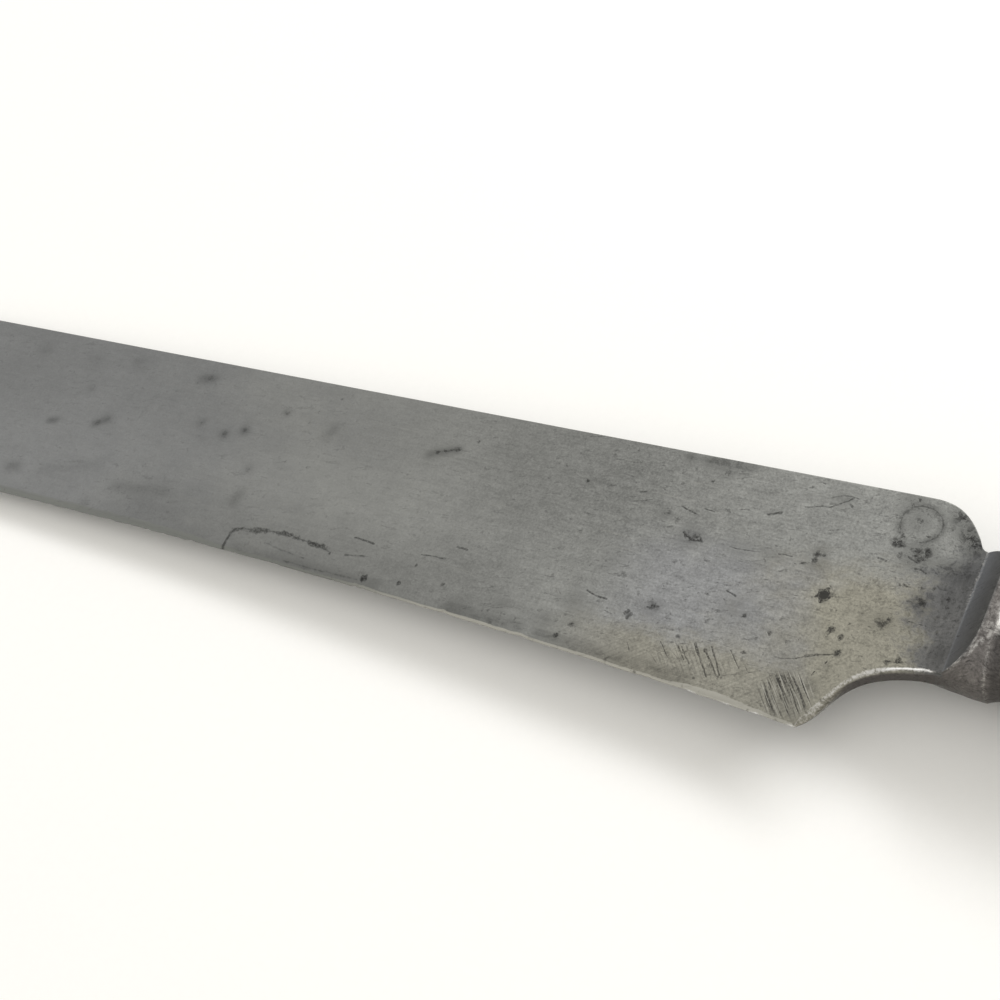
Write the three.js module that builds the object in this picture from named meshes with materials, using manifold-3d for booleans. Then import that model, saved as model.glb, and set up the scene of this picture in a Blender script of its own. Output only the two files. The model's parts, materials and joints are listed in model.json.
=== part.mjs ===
// Forged kitchen knife with a fluted bolster, a full tang and a riveted wooden handle.
// Millimetres, +Z up. The knife lies on its side, the cutting edge towards -Y.
import * as THREE from 'three';
import { mergeVertices } from 'three/addons/utils/BufferGeometryUtils.js';
import Module from 'manifold-3d';

// Everything is drawn from the heel of the cutting edge, in the blade's middle plane:
// u runs towards the handle, v towards the spine and w out of the front face.

// Blade
const BLADE_LENGTH = 184;
const SPINE_HEIGHT = 32.35;
const SPINE_DROP = 0.25;
const TIP_HEIGHT = 10;
const TIP_SPINE_RUN = 42;
const TIP_BELLY_RUN = 45;
const HONED_RISE = 4;
const HONED_RUN = 105;
const SPINE_HALF_HEEL = 1.2;
const SPINE_HALF_TIP = 0.5;
const EDGE_HALF = 0.15;
const GRIND_DEPTH = 10;
const SPINE_ROUND = 0.25;
const EDGE_ROUND = 0.1;

// Shoulder, choil and neck
const SHOULDER_START = 7;
const SHOULDER_BREAK = new THREE.Vector2(13.2, 28.2);
const CHOIL_END = 13.2;
const CHOIL_ROUND = 0.6;
const RIDGE = 14.8;
const RIDGE_WIDTH = 0.15;
const RIDGE_LEAN = 0.05;
const LEAN_PIVOT = 21;
const NECK_HALF = 8.4;
const NECK_DROP = 0.4;
const HANDLE_AXIS = 18.15;
const COVE_START = 11;
const COVE_RISE = 1;

// Bolster
const FLUTE_END = 17.9;
const FLUTE_CURVE = 0.05;
const RIM = 18.9;
const RIM_HALF_HEIGHT = 8.86;
const RIM_HALF_THICK = 6.6;
const RIM_FLAT = 3;
const REAR_HALF_THICK = 6.9;
const BOLSTER_END = 27;
const WAIST_LOSS = 0.9;
const WAIST_THIN = 1;

// Handle
const HANDLE_END = 150;
const HANDLE_HALF_THICK = 7;
const HANDLE_FRONT_HALF = 8.45;
const BUTT_LOW = 11.3;
const BUTT_HIGH = 9.3;
const BUTT_LOW_AT = 130;
const BUTT_HIGH_AT = 135;
const EDGE_ROUND_HEIGHT = 4.2;
const EDGE_ROUND_THICK = 4.5;
const TANG_HALF_THICK = 1.6;
const TANG_ROOT = 25;
const FRONT_GAP = 0.3;
const SIDE_GAP = 0.05;

// Rivets
const RIVET_STATIONS = [46, 87, 127];
const RIVET_SAG = [0, -0.6, -1];
const PIN_RADIUS = 1.6;
const PIN_RECESS = 0.1;
const PIN_CHAMFER = 0.3;
const BURR_RADIUS = 3.5;
const BURR_THICK = 1;
const BURR_BORE = 1.7;
const BURR_CROWN = 0.2;
const HOLE_GAP = 0.15;

// Facets
const CORNER_STEPS = 6;
const FACE_STEPS = 9;
const FACE_CROWDING = 1.5;
const OUTLINE_STEPS = 14;
const ROUND_STEPS = 5;
const RIVET_SIDES = 24;

const STEEL = { color: 0x7c7d79, roughness: 0.5, metalness: 1 };
const WOOD = { color: 0x46291a, roughness: 0.6, metalness: 0 };
const BRASS = { color: 0xa5854a, roughness: 0.45, metalness: 1 };

const wasm = await Module();
wasm.setup();

const at = (u, v) => new THREE.Vector2(u, v);
const line = (a, b) => new THREE.LineCurve(a, b);
const bend = (a, b, c, d) => new THREE.CubicBezierCurve(a, b, c, d);

// Finds v on a run of curves that goes from left to right, by halving the curve's parameter.
function heightAt(curves, u) {
  const curve = curves.find((c) => u <= c.getPoint(1).x) ?? curves[curves.length - 1];
  let from = 0;
  let to = 1;
  for (let i = 0; i < 40; i += 1) {
    const middle = (from + to) / 2;
    if (curve.getPoint(middle).x < u) from = middle;
    else to = middle;
  }
  return curve.getPoint((from + to) / 2).y;
}

// The back of the blade: rounded point, straight spine, shoulder and the fillet at its foot.
function makeSpineLine() {
  const point = at(-BLADE_LENGTH, TIP_HEIGHT);
  const spineStart = at(-BLADE_LENGTH + TIP_SPINE_RUN, SPINE_HEIGHT - SPINE_DROP);
  const spineEnd = at(SHOULDER_START, SPINE_HEIGHT);
  const neck = at(RIDGE, HANDLE_AXIS + NECK_HALF - NECK_DROP);
  return [
    bend(point, at(point.x, 20), at(point.x + TIP_SPINE_RUN * 0.45, spineStart.y), spineStart),
    line(spineStart, spineEnd),
    bend(spineEnd, at(11.15, SPINE_HEIGHT), at(12.25, 29.8), SHOULDER_BREAK),
    bend(SHOULDER_BREAK, at(13.7, 27.4), at(13.9, neck.y), neck),
  ];
}

// The cutting side: belly, straight edge, the stretch honed hollow, heel and S-shaped choil.
function makeEdgeLine() {
  const point = at(-BLADE_LENGTH, TIP_HEIGHT);
  const bellyEnd = at(-BLADE_LENGTH + TIP_BELLY_RUN, HONED_RISE);
  const honedStart = at(-HONED_RUN, HONED_RISE);
  const heel = at(0, 0);
  const choilEnd = at(CHOIL_END, HANDLE_AXIS - NECK_HALF - 0.05);
  return [
    bend(point, at(point.x, 5.5), at(point.x + TIP_BELLY_RUN * 0.4, HONED_RISE), bellyEnd),
    line(bellyEnd, honedStart),
    new THREE.QuadraticBezierCurve(honedStart, at(-HONED_RUN / 2, HONED_RISE), heel),
    bend(heel, at(4.07, 2.6), at(1.55, 8.52), choilEnd),
    line(choilEnd, at(RIDGE, HANDLE_AXIS - NECK_HALF)),
  ];
}

// Half height of the bolster: it flares to a rim, draws in behind it and meets the scales.
function makeBolsterLine() {
  const rim = at(RIM, RIM_HALF_HEIGHT);
  return [
    bend(at(RIDGE, NECK_HALF), at(RIDGE + 1.5, NECK_HALF), at(RIM - 1.5, rim.y - 0.05), rim),
    bend(
      rim,
      at(RIM + 1.3, rim.y - WAIST_LOSS),
      at(RIM + 4, rim.y - WAIST_LOSS - 0.2),
      at(BOLSTER_END, HANDLE_FRONT_HALF),
    ),
  ];
}

const spineLine = makeSpineLine();
const edgeLine = makeEdgeLine();
const bolsterLine = makeBolsterLine();

// The face sweeps up to the ridge in front of the bolster.
function coveRise(u) {
  return Math.max(0, (u - COVE_START) / (RIDGE - COVE_START)) ** 2 * COVE_RISE;
}

// The blade thins towards the tip, and its faces are ground convex above the edge.
function bladeFace(u, v) {
  const along = THREE.MathUtils.clamp(-u / BLADE_LENGTH, 0, 1);
  const spineHalf = THREE.MathUtils.lerp(SPINE_HALF_HEEL, SPINE_HALF_TIP, along);
  const above = v - (u < 0 ? heightAt(edgeLine, u) : 0);
  const short = 1 - THREE.MathUtils.clamp(above / GRIND_DEPTH, 0, 1);
  return EDGE_HALF + (spineHalf - EDGE_HALF) * Math.sqrt(1 - short * short) + coveRise(u);
}

// The cutting edge is crisp, and the corners of the choil are eased between heel and bolster.
function lowRounding(u) {
  if (u <= 0) return EDGE_ROUND;
  const begin = THREE.MathUtils.smoothstep(u, 0, 3);
  const end = THREE.MathUtils.smoothstep(u, CHOIL_END - 1.5, RIDGE);
  return THREE.MathUtils.lerp(SPINE_ROUND, CHOIL_ROUND, begin * (1 - end));
}

// One side of a blade section from the edge to the spine, as points (v, w).
function bladeSection(u) {
  const low = heightAt(edgeLine, u);
  const high = heightAt(spineLine, u);
  const lowRound = Math.min(lowRounding(u), (high - low) / 4);
  const highRound = Math.min(SPINE_ROUND, (high - low) / 4);
  const corner = (end, round, inward) => Array.from({ length: CORNER_STEPS + 1 }, (_, i) => {
    const turn = (i / CORNER_STEPS) * Math.PI / 2;
    const face = bladeFace(u, end + inward * round);
    const w = Math.max(face - round * (1 - Math.sin(turn)), face * Math.sin(turn), EDGE_HALF / 3);
    return [end + inward * round * (1 - Math.cos(turn)), w];
  });
  const from = low + lowRound;
  const face = Array.from({ length: FACE_STEPS - 1 }, (_, i) => {
    const v = from + (high - highRound - from) * ((i + 1) / FACE_STEPS) ** FACE_CROWDING;
    return [v, bladeFace(u, v)];
  });
  const side = [...corner(low, lowRound, 1), ...face, ...corner(high, highRound, -1).reverse()];
  return { low, high, side };
}

// The flute is ground across the front of the bolster, and deepens away from the ridge.
function fluteDepth(u) {
  const t = (u - RIDGE) / (FLUTE_END - RIDGE);
  const start = SPINE_HALF_HEEL + COVE_RISE;
  return start + (RIM_HALF_THICK - start) * (t * (1 - FLUTE_CURVE) + t * t * FLUTE_CURVE);
}

// A bolster section is nearly oval at the rim and turns into the handle's rounded oblong.
// The flute cuts it off flat, so the two surfaces meet in an arched crest. The neck sits a
// little lower on the spine's side, which draws in the upper half of each section.
function bolsterSection(u) {
  const half = heightAt(bolsterLine, u);
  const upper = 1 - NECK_DROP * (1 - THREE.MathUtils.smoothstep(u, RIDGE, RIM)) / half;
  const back = THREE.MathUtils.smoothstep(u, RIM, BOLSTER_END);
  const waist = u > RIM ? Math.sin(Math.PI * (u - RIM) / (BOLSTER_END - RIM)) * WAIST_THIN : 0;
  const thick = THREE.MathUtils.lerp(RIM_HALF_THICK, REAR_HALF_THICK, back) - waist;
  const roundHeight = THREE.MathUtils.lerp(half - RIM_FLAT, EDGE_ROUND_HEIGHT, back);
  const roundThick = THREE.MathUtils.lerp(thick - 0.4, EDGE_ROUND_THICK, back);
  const flat = half - roundHeight;
  const face = Math.min(fluteDepth(u), thick);
  const reach = Math.asin(THREE.MathUtils.clamp((face - thick + roundThick) / roundThick, 0, 1));
  const corner = [];
  for (let i = 0; i <= CORNER_STEPS; i += 1) {
    const turn = (i / CORNER_STEPS) * reach;
    const w = thick - roundThick + roundThick * Math.sin(turn);
    corner.push([flat + roundHeight * Math.cos(turn), w]);
  }
  const crest = corner[CORNER_STEPS][0];
  const side = corner.map(([v, w]) => [HANDLE_AXIS - v, w]);
  for (let i = 1; i < FACE_STEPS; i += 1) {
    side.push([HANDLE_AXIS - crest + (1 + upper) * crest * (i / FACE_STEPS), face]);
  }
  corner.reverse();
  side.push(...corner.map(([v, w]) => [HANDLE_AXIS + upper * v, w]));
  return { low: HANDLE_AXIS - half, high: HANDLE_AXIS + upper * half, side };
}

// The ridge and the flute were filed a little askew, so they lean towards the blade at the belly.
function ridgeLean(u, v) {
  const rise = THREE.MathUtils.smoothstep(u, COVE_START, RIDGE);
  const fall = THREE.MathUtils.smoothstep(u, FLUTE_END, RIM);
  return RIDGE_LEAN * (rise - fall) * (v - LEAN_PIVOT);
}

// Stations along the forging, close together where its outline turns.
function forgingStations() {
  const spread = (from, to, count, power = 1) => Array.from(
    { length: count },
    (_, i) => from + (to - from) * ((i + 1) / count) ** power,
  );
  const tip = -BLADE_LENGTH;
  const tipEnd = tip + TIP_BELLY_RUN;
  return {
    blade: [
      ...spread(tip, tipEnd, 12, 2),
      ...spread(tipEnd, 0, 8),
      ...spread(0, SHOULDER_START, 7),
      ...spread(SHOULDER_START, RIDGE - RIDGE_WIDTH, 14),
    ],
    bolster: [
      RIDGE,
      ...spread(RIDGE, FLUTE_END, 12, 0.6),
      RIM,
      ...spread(RIM, BOLSTER_END, 8),
    ],
  };
}

// Skins a run of closed rings, all with the same number of points, and caps both ends.
function skinRings(rings) {
  const count = rings[0].length;
  const index = [];
  for (let r = 0; r + 1 < rings.length; r += 1) {
    for (let i = 0; i < count; i += 1) {
      const j = (i + 1) % count;
      const a = r * count + i;
      const b = r * count + j;
      index.push(a, a + count, b, b, a + count, b + count);
    }
  }
  const capPoints = (ring, drop) => ring.map((p) => at(...p.toArray().filter((_, k) => k !== drop)));
  const addCap = (ring, offset, outward) => {
    const spread = new THREE.Box3().setFromPoints(ring).getSize(new THREE.Vector3()).toArray();
    const drop = spread.indexOf(Math.min(...spread));
    const points = capPoints(ring, drop);
    const turned = THREE.ShapeUtils.isClockWise(points);
    for (const [a, b, c] of THREE.ShapeUtils.triangulateShape(points, [])) {
      const [p, q, s] = turned ? [a, c, b] : [a, b, c];
      const normal = new THREE.Vector3().subVectors(ring[q], ring[p])
        .cross(new THREE.Vector3().subVectors(ring[s], ring[p]));
      const right = normal.dot(outward) > 0;
      index.push(offset + p, offset + (right ? q : s), offset + (right ? s : q));
    }
  };
  const middle = (ring) => ring.reduce((sum, p) => sum.add(p), new THREE.Vector3()).divideScalar(count);
  const run = middle(rings[rings.length - 1]).sub(middle(rings[0]));
  addCap(rings[0], 0, run.clone().negate());
  addCap(rings[rings.length - 1], (rings.length - 1) * count, run);
  const geometry = new THREE.BufferGeometry();
  const flatList = rings.flat().flatMap((p) => p.toArray());
  geometry.setAttribute('position', new THREE.Float32BufferAttribute(flatList, 3));
  geometry.setIndex(index);
  return geometry;
}

function toSolid(geometry) {
  const bare = geometry.clone();
  bare.deleteAttribute('normal');
  bare.deleteAttribute('uv');
  const merged = mergeVertices(bare, 1e-4);
  return new wasm.Manifold(new wasm.Mesh({
    numProp: 3,
    vertProperties: new Float32Array(merged.attributes.position.array),
    triVerts: new Uint32Array(merged.index.array),
  }));
}

function toGeometry(solid) {
  const mesh = solid.getMesh();
  const geometry = new THREE.BufferGeometry();
  geometry.setAttribute('position', new THREE.BufferAttribute(mesh.vertProperties, 3));
  geometry.setIndex(new THREE.BufferAttribute(mesh.triVerts, 1));
  geometry.computeVertexNormals();
  return geometry;
}

// The handle's side view, as one open run from the lower front corner round the butt.
function handleRun(front) {
  const low = HANDLE_AXIS - HANDLE_FRONT_HALF;
  const high = HANDLE_AXIS + HANDLE_FRONT_HALF;
  const buttLow = at(BUTT_LOW_AT, HANDLE_AXIS - BUTT_LOW);
  const buttHigh = at(BUTT_HIGH_AT, HANDLE_AXIS + BUTT_HIGH);
  const end = at(HANDLE_END, HANDLE_AXIS - 1);
  const curves = [
    bend(at(front, low), at(front + 28, low + 1.3), at(front + 64, buttLow.y + 0.8), buttLow),
    bend(buttLow, at(buttLow.x + 12, buttLow.y - 0.3), at(end.x, end.y - 6), end),
    bend(end, at(end.x, end.y + 6), at(buttHigh.x + 8, buttHigh.y), buttHigh),
    bend(buttHigh, at(buttHigh.x - 34, buttHigh.y), at(front + 34, high - 1.2), at(front, high)),
  ];
  return curves.flatMap((curve, k) => curve.getPoints(OUTLINE_STEPS).slice(k === 0 ? 0 : 1));
}

// The run drawn in by a margin along its normals, its front ends kept on the front face.
function drawIn(run, margin) {
  return run.map((p, i) => {
    const before = run[Math.max(i - 1, 0)];
    const after = run[Math.min(i + 1, run.length - 1)];
    const along = after.clone().sub(before).normalize();
    const moved = at(p.x - along.y * margin, p.y + along.x * margin);
    const isFront = i === 0 || i === run.length - 1;
    return isFront ? at(p.x, moved.y) : moved;
  });
}

function makeTang() {
  const shape = new THREE.Shape(handleRun(TANG_ROOT));
  RIVET_STATIONS.forEach((u, k) => {
    const hole = new THREE.Path();
    hole.absarc(u, HANDLE_AXIS + RIVET_SAG[k], PIN_RADIUS + HOLE_GAP, 0, Math.PI * 2, true);
    shape.holes.push(hole);
  });
  const plate = { depth: 2 * TANG_HALF_THICK, bevelEnabled: false, curveSegments: RIVET_SIDES };
  return new THREE.ExtrudeGeometry(shape, plate).translate(0, 0, -TANG_HALF_THICK);
}

function makeForging() {
  const stations = forgingStations();
  const sections = [
    ...stations.blade.map((u) => ({ u, ...bladeSection(u) })),
    ...stations.bolster.map((u) => ({ u, ...bolsterSection(u) })),
  ];
  const rings = sections.map(({ u, low, high, side }) => {
    const place = (v, w) => new THREE.Vector3(u + ridgeLean(u, v), v, w);
    const front = side.map(([v, w]) => place(v, w));
    const rear = [...side].reverse().map(([v, w]) => place(v, -w));
    return [place(low, 0), ...front, place(high, 0), ...rear];
  });
  return toGeometry(toSolid(skinRings(rings)).add(toSolid(makeTang())));
}

const rivetCylinder = (radius, from, to) => new THREE.CylinderGeometry(
  radius, radius, to - from, RIVET_SIDES,
).rotateX(Math.PI / 2).translate(0, 0, (from + to) / 2);

// A scale: flat inside and outside, its outer edges rounded, drilled and counterbored.
function makeScale() {
  const run = handleRun(BOLSTER_END + FRONT_GAP);
  const inner = TANG_HALF_THICK + SIDE_GAP;
  const levels = [[inner, 0]];
  for (let i = 0; i <= ROUND_STEPS; i += 1) {
    const turn = (i / ROUND_STEPS) * Math.PI / 2;
    levels.push([
      HANDLE_HALF_THICK - EDGE_ROUND_THICK * (1 - Math.sin(turn)),
      EDGE_ROUND_HEIGHT * (1 - Math.cos(turn)),
    ]);
  }
  const rings = levels.map(([w, margin]) => drawIn(run, margin).map(
    (p) => new THREE.Vector3(p.x, p.y, w),
  ));
  let solid = toSolid(skinRings(rings.map((ring) => ring.reverse())));
  const seat = HANDLE_HALF_THICK - PIN_RECESS - BURR_THICK - SIDE_GAP;
  RIVET_STATIONS.forEach((u, k) => {
    const bore = rivetCylinder(PIN_RADIUS + HOLE_GAP, 0, HANDLE_HALF_THICK + 1);
    const counterbore = rivetCylinder(BURR_RADIUS + HOLE_GAP, seat, HANDLE_HALF_THICK + 1);
    const place = [u, HANDLE_AXIS + RIVET_SAG[k], 0];
    solid = solid.subtract(toSolid(bore.translate(...place)));
    solid = solid.subtract(toSolid(counterbore.translate(...place)));
  });
  return toGeometry(solid);
}

const spun = (profile) => new THREE.LatheGeometry(
  profile.map(([r, z]) => at(r, z)), RIVET_SIDES,
).rotateX(Math.PI / 2);

// A pin with both ends peened over a small chamfer.
function makePin() {
  const end = HANDLE_HALF_THICK - PIN_RECESS;
  return spun([
    [0, -end],
    [PIN_RADIUS - PIN_CHAMFER, -end],
    [PIN_RADIUS, -end + PIN_CHAMFER],
    [PIN_RADIUS, end - PIN_CHAMFER],
    [PIN_RADIUS - PIN_CHAMFER, end],
    [0, end],
  ]);
}

// A burr: a flat washer whose outer face falls away a little towards its rim.
function makeBurr() {
  const top = HANDLE_HALF_THICK - PIN_RECESS;
  const bottom = top - BURR_THICK;
  return spun([
    [BURR_BORE, bottom],
    [BURR_RADIUS, bottom],
    [BURR_RADIUS, top - BURR_CROWN],
    [BURR_RADIUS - BURR_CROWN, top],
    [BURR_BORE, top],
    [BURR_BORE, bottom],
  ]);
}

function addPiece(group, name, geometry, finish) {
  const mesh = new THREE.Mesh(geometry, new THREE.MeshStandardMaterial(finish));
  mesh.name = name;
  group.add(mesh);
  return mesh;
}

// A piece of the back side is its front twin turned half a turn about the handle's length.
function turnToBack(geometry, height) {
  return geometry.translate(0, -height, 0).rotateX(Math.PI).translate(0, height, 0);
}

// The same scale, mirrored through the blade's plane with its faces turned back outwards.
function mirrorScale(geometry) {
  const mirrored = geometry.clone().scale(1, 1, -1);
  const index = Array.from(mirrored.index.array);
  for (let i = 0; i < index.length; i += 3) {
    [index[i + 1], index[i + 2]] = [index[i + 2], index[i + 1]];
  }
  mirrored.setIndex(index);
  mirrored.computeVertexNormals();
  return mirrored;
}

const knife = new THREE.Group();
addPiece(knife, 'blade', makeForging(), STEEL);
const scale = makeScale();
addPiece(knife, 'scale_front', scale, WOOD);
addPiece(knife, 'scale_back', mirrorScale(scale), WOOD);

RIVET_STATIONS.forEach((u, k) => {
  const rivet = new THREE.Group();
  rivet.position.set(u, HANDLE_AXIS + RIVET_SAG[k], 0);
  addPiece(rivet, `rivet_pin_${k + 1}`, makePin(), BRASS);
  addPiece(rivet, `burr_front_${k + 1}`, makeBurr(), BRASS);
  addPiece(rivet, `burr_back_${k + 1}`, turnToBack(makeBurr(), 0), BRASS);
  knife.add(rivet);
});

// The blade is the heavier end, so the knife lies on its tip and on the front of its back scale.
const restTilt = Math.atan2(HANDLE_HALF_THICK - SPINE_HALF_TIP, BLADE_LENGTH + BOLSTER_END);
knife.rotation.y = -restTilt;

// The origin is under the middle of the whole knife, on the surface that it lies on.
const box = new THREE.Box3().setFromObject(knife, true);
const centre = box.getCenter(new THREE.Vector3());
knife.position.set(-centre.x, -centre.y, -box.min.z);

const part = new THREE.Group();
part.add(knife);

export default part;
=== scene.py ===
"""Looks of an old forged kitchen knife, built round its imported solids.

Shapes are worked out in knife places: u, v and w in millimetres from the heel of the cutting
edge, with u towards the handle, v towards the spine and w out of the front face. KnifeFrame
turns them into the part's frame in metres.
"""
import json
import logging
import math
from dataclasses import dataclass, field
from enum import Enum
from typing import Any, Mapping, Sequence, Union

import bmesh
import bpy
import numpy as np
from mathutils import Matrix, Vector


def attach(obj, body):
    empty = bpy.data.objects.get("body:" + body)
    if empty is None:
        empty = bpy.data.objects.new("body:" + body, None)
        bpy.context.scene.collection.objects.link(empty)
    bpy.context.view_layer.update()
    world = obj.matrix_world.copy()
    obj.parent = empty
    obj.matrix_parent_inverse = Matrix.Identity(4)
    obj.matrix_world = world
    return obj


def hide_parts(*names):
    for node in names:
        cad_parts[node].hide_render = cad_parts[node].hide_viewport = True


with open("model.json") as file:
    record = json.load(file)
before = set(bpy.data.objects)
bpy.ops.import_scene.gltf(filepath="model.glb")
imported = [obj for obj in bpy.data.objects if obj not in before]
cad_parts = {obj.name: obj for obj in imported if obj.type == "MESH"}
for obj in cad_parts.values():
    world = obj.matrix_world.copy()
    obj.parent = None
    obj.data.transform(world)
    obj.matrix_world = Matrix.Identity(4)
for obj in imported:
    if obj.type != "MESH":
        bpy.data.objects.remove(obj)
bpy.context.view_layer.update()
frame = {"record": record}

LOG = logging.getLogger("knife")
MM = 0.001
BODY = "root"
UV_NAME = "knife_places"
BACK_SHIFT = 400.0

Place = tuple[float, float]
Triple = tuple[float, float, float]
Colour = Triple
Value = Union[float, "Sock"]
Values = Union[Triple, "Sock"]


class Slot(Enum):
    """The record's material slots."""

    STEEL = "forged_steel"
    WOOD = "scale_wood"
    BRASS = "rivet_brass"


class Side(Enum):
    """The two faces of the knife, with the sign of w on each."""

    FRONT = 1
    BACK = -1


# Curves and small array helpers


def smoothstep(low: float, high: float, x: np.ndarray) -> np.ndarray:
    """Rises with level ends from 0 at low to 1 at high, which may be the smaller of the two."""
    t = np.clip((x - low) / (high - low), 0.0, 1.0)
    return t * t * (3.0 - 2.0 * t)


def bell(x: np.ndarray, width: Union[float, np.ndarray]) -> np.ndarray:
    """Falls from 1 at 0 towards 0 on both sides: e to the minus square of x over the width."""
    return np.exp(-((x / width) ** 2))


def bezier(*points: Place, steps: int = 80) -> np.ndarray:
    """Samples a Bezier curve of any degree.

    Each sample is the sum of the control points, weighted by the terms of (t + (1 - t)) ** n.

    Args:
        points: Control points.
        steps: Number of samples, both ends included.

    Returns:
        Array of shape (steps, 2).
    """
    t = np.linspace(0.0, 1.0, steps)[:, None]
    order = len(points) - 1
    power = np.arange(order + 1)
    ways = np.array([math.comb(order, k) for k in power])
    weights = ways * t**power * (1.0 - t) ** (order - power)
    return weights @ np.array(points, float)


class Outline:
    """A run of curves from left to right, read as a height v over the length u."""

    def __init__(self, *curves: np.ndarray) -> None:
        """Joins sampled curves end to end."""
        self.points = np.concatenate(curves)

    def __call__(self, u: np.ndarray) -> np.ndarray:
        """Gives v at each u, straight between samples."""
        return np.interp(u, self.points[:, 0], self.points[:, 1])


def spread(start: float, end: float, count: int, power: float = 1.0) -> np.ndarray:
    """Gives count places after start, up to end, crowded at the start where power is over 1."""
    return start + (end - start) * (np.arange(1, count + 1) / count) ** power


def distance_to_run(u: np.ndarray, v: np.ndarray, run: Sequence[Place]) -> np.ndarray:
    """Distance from each place to a run of straight stretches.

    The nearest point of a stretch is its start plus the clamped projection on its direction.

    Args:
        u: Lengths.
        v: Heights.
        run: Corners of the run.

    Returns:
        Array of distances with the shape of u.
    """
    best = np.full(u.shape, np.inf)
    for (u0, v0), (u1, v1) in zip(run[:-1], run[1:]):
        du, dv = u1 - u0, v1 - v0
        t = np.clip(((u - u0) * du + (v - v0) * dv) / (du * du + dv * dv), 0.0, 1.0)
        best = np.minimum(best, np.hypot(u - u0 - t * du, v - v0 - t * dv))
    return best


def arc(middle: Place, radius: float, start: float, end: float, count: int) -> tuple[Place, ...]:
    """Places on a circle: the middle plus the radius times the cosine and sine of the angle.

    Args:
        middle: The circle's middle.
        radius: Its radius.
        start: First angle, in degrees.
        end: Last angle, in degrees.
        count: Number of places.

    Returns:
        The places in order.
    """
    angle = np.radians(np.linspace(start, end, count))
    return tuple(zip(middle[0] + radius * np.cos(angle), middle[1] + radius * np.sin(angle)))


def drawn_in(run: np.ndarray, margin: float) -> np.ndarray:
    """Moves an open run inwards along its normals, and keeps its two ends on the front face.

    Args:
        run: Points (u, v), with the inside on the left.
        margin: How far the run moves.

    Returns:
        The moved points.
    """
    along = np.gradient(run, axis=0)
    along /= np.linalg.norm(along, axis=1, keepdims=True)
    moved = run + margin * np.stack([-along[:, 1], along[:, 0]], axis=1)
    moved[[0, -1], 0] = run[[0, -1], 0]
    return moved


def tube(place: Place, profile: Sequence[Place], sides: int) -> np.ndarray:
    """Turns a profile about an axis along w: radius times the cosine and sine of the angle.

    Args:
        place: Where the axis stands.
        profile: Radius and w of each ring.
        sides: Points on a ring.

    Returns:
        Knife places (rings, sides, 3).
    """
    radius, level = np.array(profile, float).T[:, :, None]
    angle = np.linspace(0.0, 2.0 * math.pi, sides, endpoint=False)[None, :]
    u = place[0] + radius * np.cos(angle)
    v = place[1] + radius * np.sin(angle)
    return np.stack(np.broadcast_arrays(u, v, level), axis=-1)


# Frame and meshes


@dataclass(frozen=True)
class KnifeFrame:
    """Where the knife lies in the part's frame.

    Attributes:
        heel: The heel of the cutting edge, in metres.
        axes: Unit vectors of u, v and w, as rows.
    """

    heel: np.ndarray
    axes: np.ndarray

    @classmethod
    def from_record(cls, record: Mapping[str, Any], rest_place: Sequence[float]) -> "KnifeFrame":
        """Reads the frame from the record's rest face, whose outward axis is -w.

        Args:
            record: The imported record.
            rest_place: The knife place (u, v, w) of the rest face's point.

        Returns:
            The knife's frame.
        """
        mount = record["mounts"][0]
        across = np.array((0.0, 1.0, 0.0))
        out = -np.array(mount["axis"], float)
        out /= np.linalg.norm(out)
        axes = np.stack([np.cross(across, out), across, out])
        heel = np.array(mount["pos_m"], float) - np.array(rest_place) * MM @ axes
        return cls(heel, axes)

    def points(self, places: np.ndarray) -> np.ndarray:
        """Turns places (..., 3) in millimetres into the part's frame in metres."""
        return self.heel + places * MM @ self.axes

    def direction(self, vector: np.ndarray) -> Vector:
        """Turns a direction in the knife into the part's frame."""
        return Vector(vector @ self.axes)


def grid_faces(rows: int, columns: int, is_closed: bool, is_wrapped: bool) -> np.ndarray:
    """Quads of a grid: each joins two neighbours of a row to the next row.

    Args:
        rows: Number of rows.
        columns: Number of points in a row.
        is_closed: Whether a row's last point is joined to its first.
        is_wrapped: Whether the last row is joined to the first.

    Returns:
        Indices (faces, 4).
    """
    row = np.arange(rows if is_wrapped else rows - 1)[:, None] * columns
    column = np.arange(columns if is_closed else columns - 1)[None, :]
    after = (row + columns) % (rows * columns)
    beside = (column + 1) % columns
    return np.stack([row + column, after + column, after + beside, row + beside], axis=-1).reshape(-1, 4)


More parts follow.
